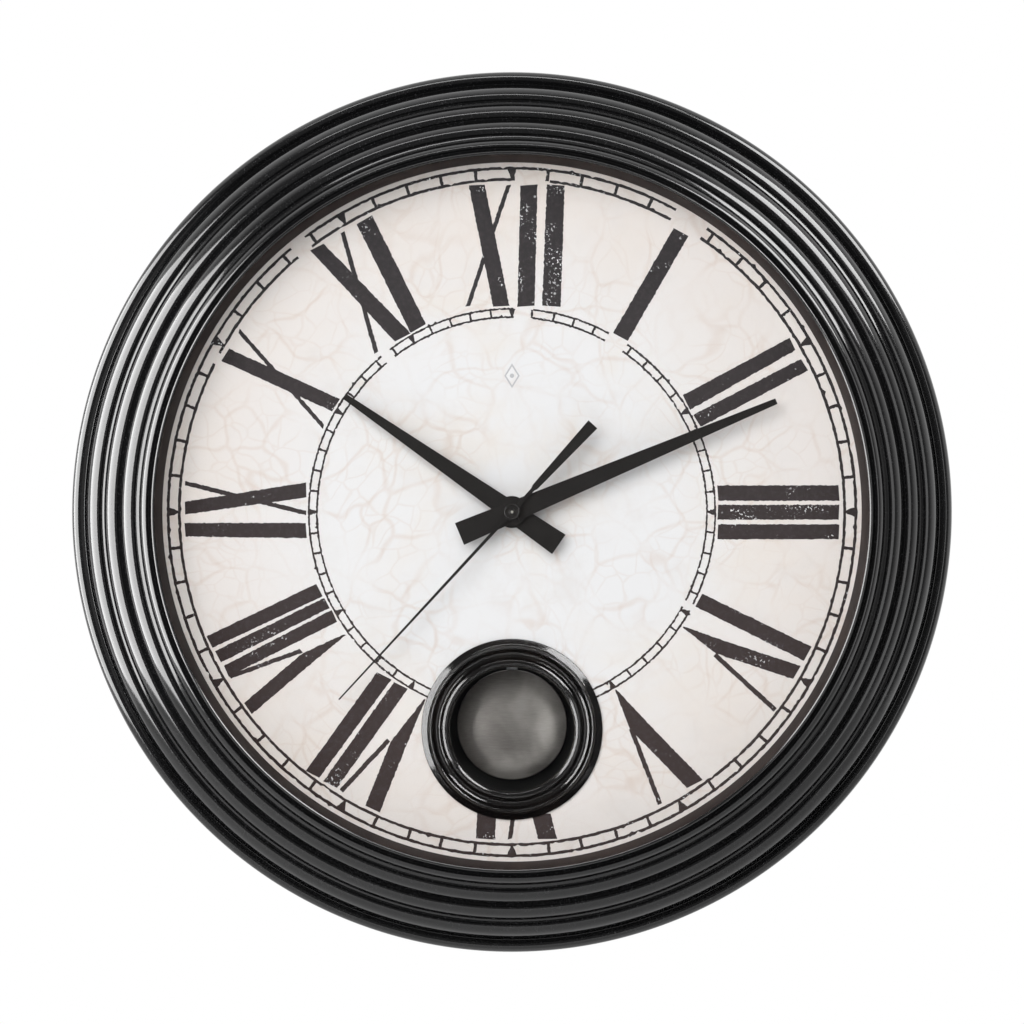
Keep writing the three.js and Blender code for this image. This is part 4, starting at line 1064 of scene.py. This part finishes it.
# ---- Hands ----------------------------------------------------------------------------------
def hand_outline(tip, tail, tip_half, tail_half, hub):
    """A tapered bar joined to a round hub."""
    slope = (tip_half - tail_half) / (tip + tail)
    at_hub = tail_half + slope * tail
    a, b, c = 1 + slope * slope, 2 * at_hub * slope, at_hub * at_hub - hub * hub
    spread = math.sqrt(b * b - 4 * a * c)
    ends = [(-b - spread) / (2 * a), (-b + spread) / (2 * a)]
    first, last = (math.degrees(math.atan2(y, at_hub + slope * y)) for y in ends)
    steps = 20
    right = [(tail_half, -tail)]
    right += [polar(hub, first + (last - first) * i / steps) for i in range(steps + 1)]
    right.append((tip_half, tip))
    return right + [(-x, y) for x, y in reversed(right)]


HAND_TAIL = 28.4
HAND_THICKNESS = 0.8
HAND_TIP_HALF = 1.5
HAND_TAIL_HALF = 5.9
COLLET_WALL = 0.9
SECOND_THICKNESS = 0.4
REST_ANGLES = {"hour_hand": 304.65, "minute_hand": 67.25, "second_hand": 222.7}


class WALLCLOCK_OT_hands(bpy.types.Operator):
    """Hour, minute and second hands with the second hand's boss"""

    bl_idname = "wall_clock.hands"
    bl_label = "Hands"

    def bar_hand(self, name, node, body, tip, hub, bore):
        low, high = face_box(node)
        front = high.z
        back = front - HAND_THICKNESS
        outline = hand_outline(tip, HAND_TAIL, HAND_TIP_HALF, HAND_TAIL_HALF, hub)
        shape = Shape().slab([outline, circle(bore, TURNED)], back, front)
        if low.z < front - 1:
            wall = bore + COLLET_WALL
            shape.lathe([(bore, low.z), (wall, low.z), (wall, back), (bore, back)], sides=TURNED)
        shape.turn(REST_ANGLES[node]).piece(name, [hand_lacquer], body, [node], "hand_black", 0.14)

    def execute(self, context):
        self.bar_hand("hour_hand_blade", "hour_hand", "hour", 101.5, 8.0, 2.9)
        self.bar_hand("minute_hand_blade", "minute_hand", "minute", 143.0, 7.0, 2.0)
        low, high = face_box("second_hand")
        back, top = low.z, high.z
        blade = back + SECOND_THICKNESS
        needle = [(0.85, 3.6), (0.8, 20), (0.38, 127.3), (-0.38, 127.3), (-0.8, 20), (-0.85, 3.6)]
        tail = [(-3, -59.5), (3, -59.5), (1.6, -16.8), (0.95, -15.4), (0.95, -3.6), (-0.95, -3.6)]
        tail += [(-0.95, -15.4), (-1.6, -16.8)]
        shape = Shape().slab([needle], back, blade).slab([tail], back, blade)
        boss = [(0.8, back), (4.0, back), (4.0, top - 0.25), (3.7, top), (3.2, top), (3.0, top - 0.35)]
        boss += [(1.5, top - 0.35), (1.2, top - 0.1), (0.8, top - 0.1)]
        shape.lathe(eased(boss, 0.12), sides=SMALL)
        shape.turn(REST_ANGLES["second_hand"])
        shape.piece("second_hand_needle", [hand_lacquer], "seconds", ["second_hand"], "hand_black", 0.06)
        return {"FINISHED"}


# ---- Pendulum -------------------------------------------------------------------------------
class WALLCLOCK_OT_bob(bpy.types.Operator):
    """Domed pendulum bob"""

    bl_idname = "wall_clock.bob"
    bl_label = "Bob"

    def execute(self, context):
        low, high = face_box("pendulum_bob")
        radius, crown, chamfer, steps = (high.x - low.x) / 2, 5.0, 0.6, 24
        shoulder = high.z - crown
        profile = [(0, low.z), (radius - chamfer, low.z), (radius, low.z + chamfer), (radius, shoulder - 0.5)]
        for i in range(steps):
            r = (radius - 0.35) * math.cos(math.pi / 2 * i / steps)
            profile.append((r, shoulder + crown * (1 - (r / radius) ** 2)))
        profile.append((0, high.z))
        bob = Shape().lathe(profile, middle("pendulum_bob"), FINE)
        bob.piece("bob_disc", [pewter], "pendulum", ["pendulum_bob"], "pewter")
        return {"FINISHED"}


# ---- Back -----------------------------------------------------------------------------------
HANG_HEIGHT = -AXIS_HEIGHT / MM  # the hanging point over the dial's centre
KEYHOLE_DROP, KEYSLOT_RADIUS, KEYHOLE_RADIUS = 9, 2.5, 5
KEYHOLE_ROOM = (8, 16, 5, 3)  # half width, below, above and corner of the pocket in the cover
OPENING_MARGIN = 4
COVER_EDGE = 3  # rim to the cover's edge
COVER_BORE = 1.6
RIVET_BORE = 1.4
HANGER_CORNER = 4
RIVETS = ("hanger_rivet_left", "hanger_rivet_right")
HEAD_RADIUS, HEAD_HEIGHT, SHANK_RADIUS = 3.4, 1.5, 1.1
THREAD_PITCH = 0.8
PAD_RADIUS = 7


def keyhole_outline(top, drop, slot, hole, steps=20):
    """A round hole with a narrower slot up from it, whose round end is centred at the top."""
    meet = math.degrees(math.asin(slot / hole))
    seat = [polar(slot, 180 * i / steps, (0, top)) for i in range(steps + 1)]
    start, end = 90 + meet, 450 - meet
    bulb = [polar(hole, start + (end - start) * i / steps, (0, top - drop)) for i in range(steps + 1)]
    return seat + bulb


class WALLCLOCK_OT_back_cover(bpy.types.Operator):
    """Textured back cover with its opening for the movement, and the ring that holds the dial"""

    bl_idname = "wall_clock.back_cover"
    bl_label = "Back cover"

    def execute(self, context):
        low, high = face_box("back_cover")
        box_low, box_high = face_box("movement_rear_case")
        half, below, above, corner = KEYHOLE_ROOM
        margin = OPENING_MARGIN
        ring = high.x + COVER_EDGE - BOSS_INSET
        opening = rounded_rect(
            box_low.x - margin, box_high.x + margin, box_low.y - margin, box_high.y + margin, margin
        )
        pocket = rounded_rect(-half, half, HANG_HEIGHT - below, HANG_HEIGHT + above, corner)
        places = [polar(ring, 360 * i / SCREW_COUNT) for i in range(SCREW_COUNT)]
        screws = [circle(COVER_BORE, ROUND, place) for place in places]
        rivets = [circle(RIVET_BORE, ROUND, middle(node)) for node in RIVETS]
        plate = Shape().slab([circle(high.x, FINE), opening, pocket, *screws, *rivets], low.z, high.z)
        plate.piece("cover_panel", [back_plastic], CASE, ["back_cover"], "back_plastic", 0.25)
        low, high = face_box("spacer_ring")
        inner = high.x - SPACER_WALL
        wall = [(inner, low.z), (high.x, low.z), (high.x, high.z), (inner, high.z)]
        ring = Shape().lathe(eased(wall, 0.4))
        ring.piece("spacer_wall", [back_plastic], CASE, ["spacer_ring"], "back_plastic")
        return {"FINISHED"}


def screw_shape(centre, back, front):
    """A pan head with a cross recess, seen from behind, and its threaded shank."""
    shape = Shape()
    recess, arm, half = 0.75, 1.9, 0.36
    head, shank, neck = HEAD_RADIUS, SHANK_RADIUS, back + HEAD_HEIGHT
    flat = head - 0.75
    loops = (circle(flat, TURNED), cross_outline(half, arm))
    placed = [[(x + centre[0], y + centre[1]) for x, y in loop] for loop in loops]
    shape.slab(placed, back, back + recess)
    skirt = [(flat, back), (head - 0.25, back + 0.2), (head, back + 0.6), (head, neck), (shank, neck)]
    z = neck
    while z + THREAD_PITCH < front - 1.2:
        skirt += [(shank, z + 0.2), (shank * 0.8, z + 0.45), (shank, z + 0.7)]
        z += THREAD_PITCH
    skirt += [(shank * 0.8, front - 1.0), (0, front)]
    shape.lathe([(0, back + recess), (flat, back + recess), *skirt], centre, TURNED)
    return shape


def cross_outline(half, arm):
    """A plus sign."""
    quarter = [(half, half), (half, arm), (-half, arm)]
    points = []
    for turn in range(4):
        c, s = math.cos(math.pi / 2 * turn), math.sin(math.pi / 2 * turn)
        points += [(x * c - y * s, x * s + y * c) for x, y in quarter]
    return points


class WALLCLOCK_OT_screws(bpy.types.Operator):
    """Cross-head screws of the back cover"""

    bl_idname = "wall_clock.screws"
    bl_label = "Cover screws"

    def execute(self, context):
        for i in range(SCREW_COUNT):
            node = f"cover_screw_{i + 1}"
            low, high = face_box(node)
            shape = screw_shape(middle(node), low.z, high.z)
            shape.piece(f"screw_{i + 1}", [zinc], CASE, [node], "steel")
        return {"FINISHED"}


class WALLCLOCK_OT_hanger(bpy.types.Operator):
    """Keyhole plate with its two rivets, and the wall pads"""

    bl_idname = "wall_clock.hanger"
    bl_label = "Hanger and pads"

    def execute(self, context):
        low, high = face_box("hanger_plate")
        outline = rounded_rect(low.x, high.x, low.y, high.y, HANGER_CORNER)
        keyhole = keyhole_outline(HANG_HEIGHT, KEYHOLE_DROP, KEYSLOT_RADIUS, KEYHOLE_RADIUS)
        holes = [circle(RIVET_BORE, ROUND, middle(node)) for node in RIVETS]
        plate = Shape().slab([outline, keyhole, *holes], low.z, high.z)
        plate.piece("keyhole_plate", [zinc], CASE, ["hanger_plate"], "steel", 0.2)
        shank = SHANK_RADIUS
        for node in RIVETS:
            low, high = face_box(node)
            head = [(0, low.z), (2.0, low.z), (2.6, low.z + 0.2), (2.6, low.z + 0.35), (shank, low.z + 0.35)]
            head += [(shank, high.z - 0.7), (2.2, high.z - 0.7), (2.0, high.z - 0.1), (0, high.z)]
            Shape().lathe(head, middle(node), TURNED).piece(f"{node}_body", [zinc], CASE, [node], "steel")
        for node in ("wall_pad_left", "wall_pad_right"):
            low, high = face_box(node)
            pad = [(0, low.z), (PAD_RADIUS, low.z), (PAD_RADIUS, high.z), (0, high.z)]
            disc = Shape().lathe(eased(pad, 0.6), middle(node), SMALL)
            disc.piece(f"{node}_disc", [rubber], CASE, [node], "rubber")
        return {"FINISHED"}


# ---- Movement -------------------------------------------------------------------------------
class WALLCLOCK_OT_knob(bpy.types.Operator):
    """Fluted knob that sets the hands"""

    bl_idname = "wall_clock.knob"
    bl_label = "Setting knob"

    def execute(self, context):
        low, high = face_box("setting_knob")
        at = middle("setting_knob")
        radius, shaft = (high.x - low.x) / 2, 1.6
        grip, end = low.z + 3.4, high.z - 3.4
        head = [(0, low.z + 0.6), (radius - 2.6, low.z + 0.6), (radius - 2.2, low.z), (radius - 0.5, low.z)]
        head += [(radius, low.z + 0.5), (radius, grip - 0.3), (radius - 0.4, grip)]
        head += [(shaft, grip), (shaft, end), (0, end)]
        shape = Shape().lathe(head, at, 192, flutes=(16, 1.0))
        shape.piece("knob_grip", [movement_plastic], "knob", ["setting_knob"], "movement_plastic")
        return {"FINISHED"}


class WALLCLOCK_OT_battery(bpy.types.Operator):
    """Sleeved dry cell"""

    bl_idname = "wall_clock.battery"
    bl_label = "Battery"

    def execute(self, context):
        low, high = face_box("battery")
        half, radius = (high.x - low.x) / 2, (high.y - low.y) / 2
        nub = 1.0
        profile = [(0, -half), (radius - 1.6, -half), (radius - 1.3, -half + 0.25)]
        profile.append((radius - 0.7, -half + 0.1))
        profile += [(radius, -half + 0.7), (radius, half - nub - 0.7), (radius - 0.7, half - nub)]
        profile += [(2.9, half - nub), (2.75, half - 0.2), (2.4, half), (0, half)]
        shape = Shape().lathe(profile, sides=96)
        shape.lay_along_x((low.x + high.x) / 2, (low.y + high.y) / 2, (low.z + high.z) / 2)
        shape.piece("dry_cell", [cell], CASE, ["battery"], "cell")
        return {"FINISHED"}


# Finish and edge easing in millimetres of each CAD piece that is shown as it is.
CARRIED = {
    "dial_plate": (marble, 0), "rubber_washer": (rubber, 0.1), "dial_washer": (zinc, 0.1),
    "dial_nut": (brass, 0.2), "movement_front_case": (movement_plastic, 0.3),
    "movement_rear_case": (movement_plastic, 0.3), "train_bridge": (white_plastic, 0.15),
    "stator": (zinc, 0.08), "motor_coil": (copper_wire, 0.1), "circuit_board": (board, 0.05),
    "quartz_crystal": (zinc, 0.1), "contact_positive": (zinc, 0.08), "contact_negative": (zinc, 0.08),
    "pendulum_coil": (copper_wire, 0.15), "pendulum_axle": (zinc, 0.08), "rotor": (red_plastic, 0),
    "rotor_magnet": (magnet, 0.1), "intermediate_wheel": (white_plastic, 0),
    "seconds_wheel": (white_plastic, 0), "third_wheel": (white_plastic, 0), "centre_wheel": (red_plastic, 0),
    "minute_arbor": (brass, 0), "motion_wheel": (white_plastic, 0), "hour_wheel": (white_plastic, 0),
    "hand_nut": (brass, 0.1), "pendulum_hanger": (movement_plastic, 0.25),
    "pendulum_magnet": (magnet, 0.2), "pendulum_rod": (zinc, 0.12), "bob_clip": (zinc, 0.1),
    "window_clip_1": (zinc, 0.1), "window_clip_2": (zinc, 0.1), "window_clip_3": (zinc, 0.1),
}


class WALLCLOCK_OT_carried(bpy.types.Operator):
    """Finishes of the pieces that keep their CAD shape"""

    bl_idname = "wall_clock.carried"
    bl_label = "Movement and small parts"

    def execute(self, context):
        for name, (maker, easing) in CARRIED.items():
            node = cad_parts[name]
            node.data.materials.clear()
            node.data.materials.append(finish(maker))
            weld = node.modifiers.new("weld", "WELD")
            weld.merge_threshold = 1e-6
            if easing:
                soften(node, easing)
        return {"FINISHED"}


# ---- Stage ----------------------------------------------------------------------------------
# Name, place in metres from the dial's centre, width and height, power setting, and whether the
# light is seen in glossy surfaces only (True) or lights matt ones only (False).
SOFTBOXES = (
    ("side_softbox", (-1.93, -0.52, 0.2), (3.5, 2.5), "side", True),
    ("top_strip", (-0.1, -0.7, 1.8), (1.8, 0.2), "top", True),
    ("corner_softbox", (1.2, -0.6, 1.2), (1.5, 0.9), "corner", True),
    ("right_panel", (1.5, -2.0, -0.1), (1.4, 1.8), "right", True),
    ("front_fill", (-1.0, -3.0, 1.2), (3.0, 3.0), "fill", False),
)
LIT_FROM, LIT_TO = -0.5, 0.35  # where the room's light grows, as a direction's share of depth


class WALLCLOCK_OT_stage(bpy.types.Operator):
    """Pale floor, soft studio light and camera"""

    bl_idname = "wall_clock.stage"
    bl_label = "Stage"

    def softbox(self, name, at, width, height, strength, seen_in_gloss):
        light = bpy.data.lights.new(name, "AREA")
        light.shape = "RECTANGLE"
        light.size, light.size_y, light.energy = width, height, strength
        box = bpy.data.objects.new(name, light)
        target = Vector((0, 0, AXIS_HEIGHT))
        box.location = at
        box.rotation_euler = (target - Vector(at)).to_track_quat("-Z", "Y").to_euler()
        box.visible_glossy = seen_in_gloss
        box.visible_diffuse = not seen_in_gloss
        bpy.context.scene.collection.objects.link(box)

    def world(self, size):
        world = bpy.data.worlds.new("studio")
        world.use_nodes = True
        tree = Tree(world.node_tree)
        direction = tree.out(tree.node("ShaderNodeTexCoord"), "Generated")
        depth = tree.axes(direction)[1]
        room = tree.rise(depth, LIT_FROM, LIT_TO, size.surround, size.backlight)
        seen_directly = tree.out(tree.node("ShaderNodeLightPath"), "Is Camera Ray")
        strength = room * (1 - seen_directly) + seen_directly
        shade = tree.node("ShaderNodeBackground", None, {"Color": (1, 1, 1), "Strength": strength})
        tree.node("ShaderNodeOutputWorld", None, {"Surface": tree.out(shade)})
        bpy.context.scene.world = world

    def execute(self, context):
        size = settings().stage
        half = size.floor_size / 2
        floor_z = AXIS_HEIGHT - size.floor_drop
        mesh = bpy.data.meshes.new("floor")
        corners = [(-half, -half), (half, -half), (half, half), (-half, half)]
        mesh.from_pydata([(x, y, floor_z) for x, y in corners], [], [(0, 1, 2, 3)])
        mesh.materials.append(finish(floor_paint))
        floor = bpy.data.objects.new("floor", mesh)
        context.scene.collection.objects.link(floor)
        self.world(size)
        for name, (x, y, up), (wide, tall), key, seen_in_gloss in SOFTBOXES:
            self.softbox(name, (x, y, AXIS_HEIGHT + up), wide, tall, getattr(size, key), seen_in_gloss)
        data = bpy.data.cameras.new("camera")
        data.lens = data.sensor_width * size.distance / size.width
        data.clip_end = 100
        camera = bpy.data.objects.new("camera", data)
        camera.location = (0, -size.distance, AXIS_HEIGHT)
        camera.rotation_euler = (math.pi / 2, 0, 0)
        context.scene.collection.objects.link(camera)
        context.scene.camera = camera
        context.scene.view_settings.view_transform = "Standard"
        return {"FINISHED"}


# ---- Add-on ---------------------------------------------------------------------------------
OPERATORS = (
    WALLCLOCK_OT_bezel,
    WALLCLOCK_OT_lens,
    WALLCLOCK_OT_inner_ring,
    WALLCLOCK_OT_tracks,
    WALLCLOCK_OT_numerals,
    WALLCLOCK_OT_ornament,
    WALLCLOCK_OT_window_ring,
    WALLCLOCK_OT_hands,
    WALLCLOCK_OT_bob,
    WALLCLOCK_OT_back_cover,
    WALLCLOCK_OT_screws,
    WALLCLOCK_OT_hanger,
    WALLCLOCK_OT_knob,
    WALLCLOCK_OT_battery,
    WALLCLOCK_OT_carried,
    WALLCLOCK_OT_stage,
)
GROUPS = (WallClockCase, WallClockPrint, WallClockFinish, WallClockStage, WallClockSettings)


class WALLCLOCK_PT_panel(bpy.types.Panel):
    """Settings and pieces of the wall clock"""

    bl_idname = "WALLCLOCK_PT_panel"
    bl_label = "Wall clock"
    bl_space_type = "VIEW_3D"
    bl_region_type = "UI"
    bl_category = "Wall clock"

    def draw(self, context):
        for group in (context.scene.wall_clock.case, context.scene.wall_clock.printing,
                      context.scene.wall_clock.finish, context.scene.wall_clock.stage):
            box = self.layout.box()
            for key in type(group).__annotations__:
                box.prop(group, key)
        for operator in OPERATORS:
            self.layout.operator(operator.bl_idname)


CLASSES = (*GROUPS, *OPERATORS, WALLCLOCK_PT_panel)


def register():
    for item in CLASSES:
        bpy.utils.register_class(item)
    bpy.types.Scene.wall_clock = PointerProperty(type=WallClockSettings)


def unregister():
    del bpy.types.Scene.wall_clock
    for item in reversed(CLASSES):
        bpy.utils.unregister_class(item)


def main():
    register()
    for operator in OPERATORS:
        family, name = operator.bl_idname.split(".")
        getattr(getattr(bpy.ops, family), name)()


if __name__ == "__main__":
    main()
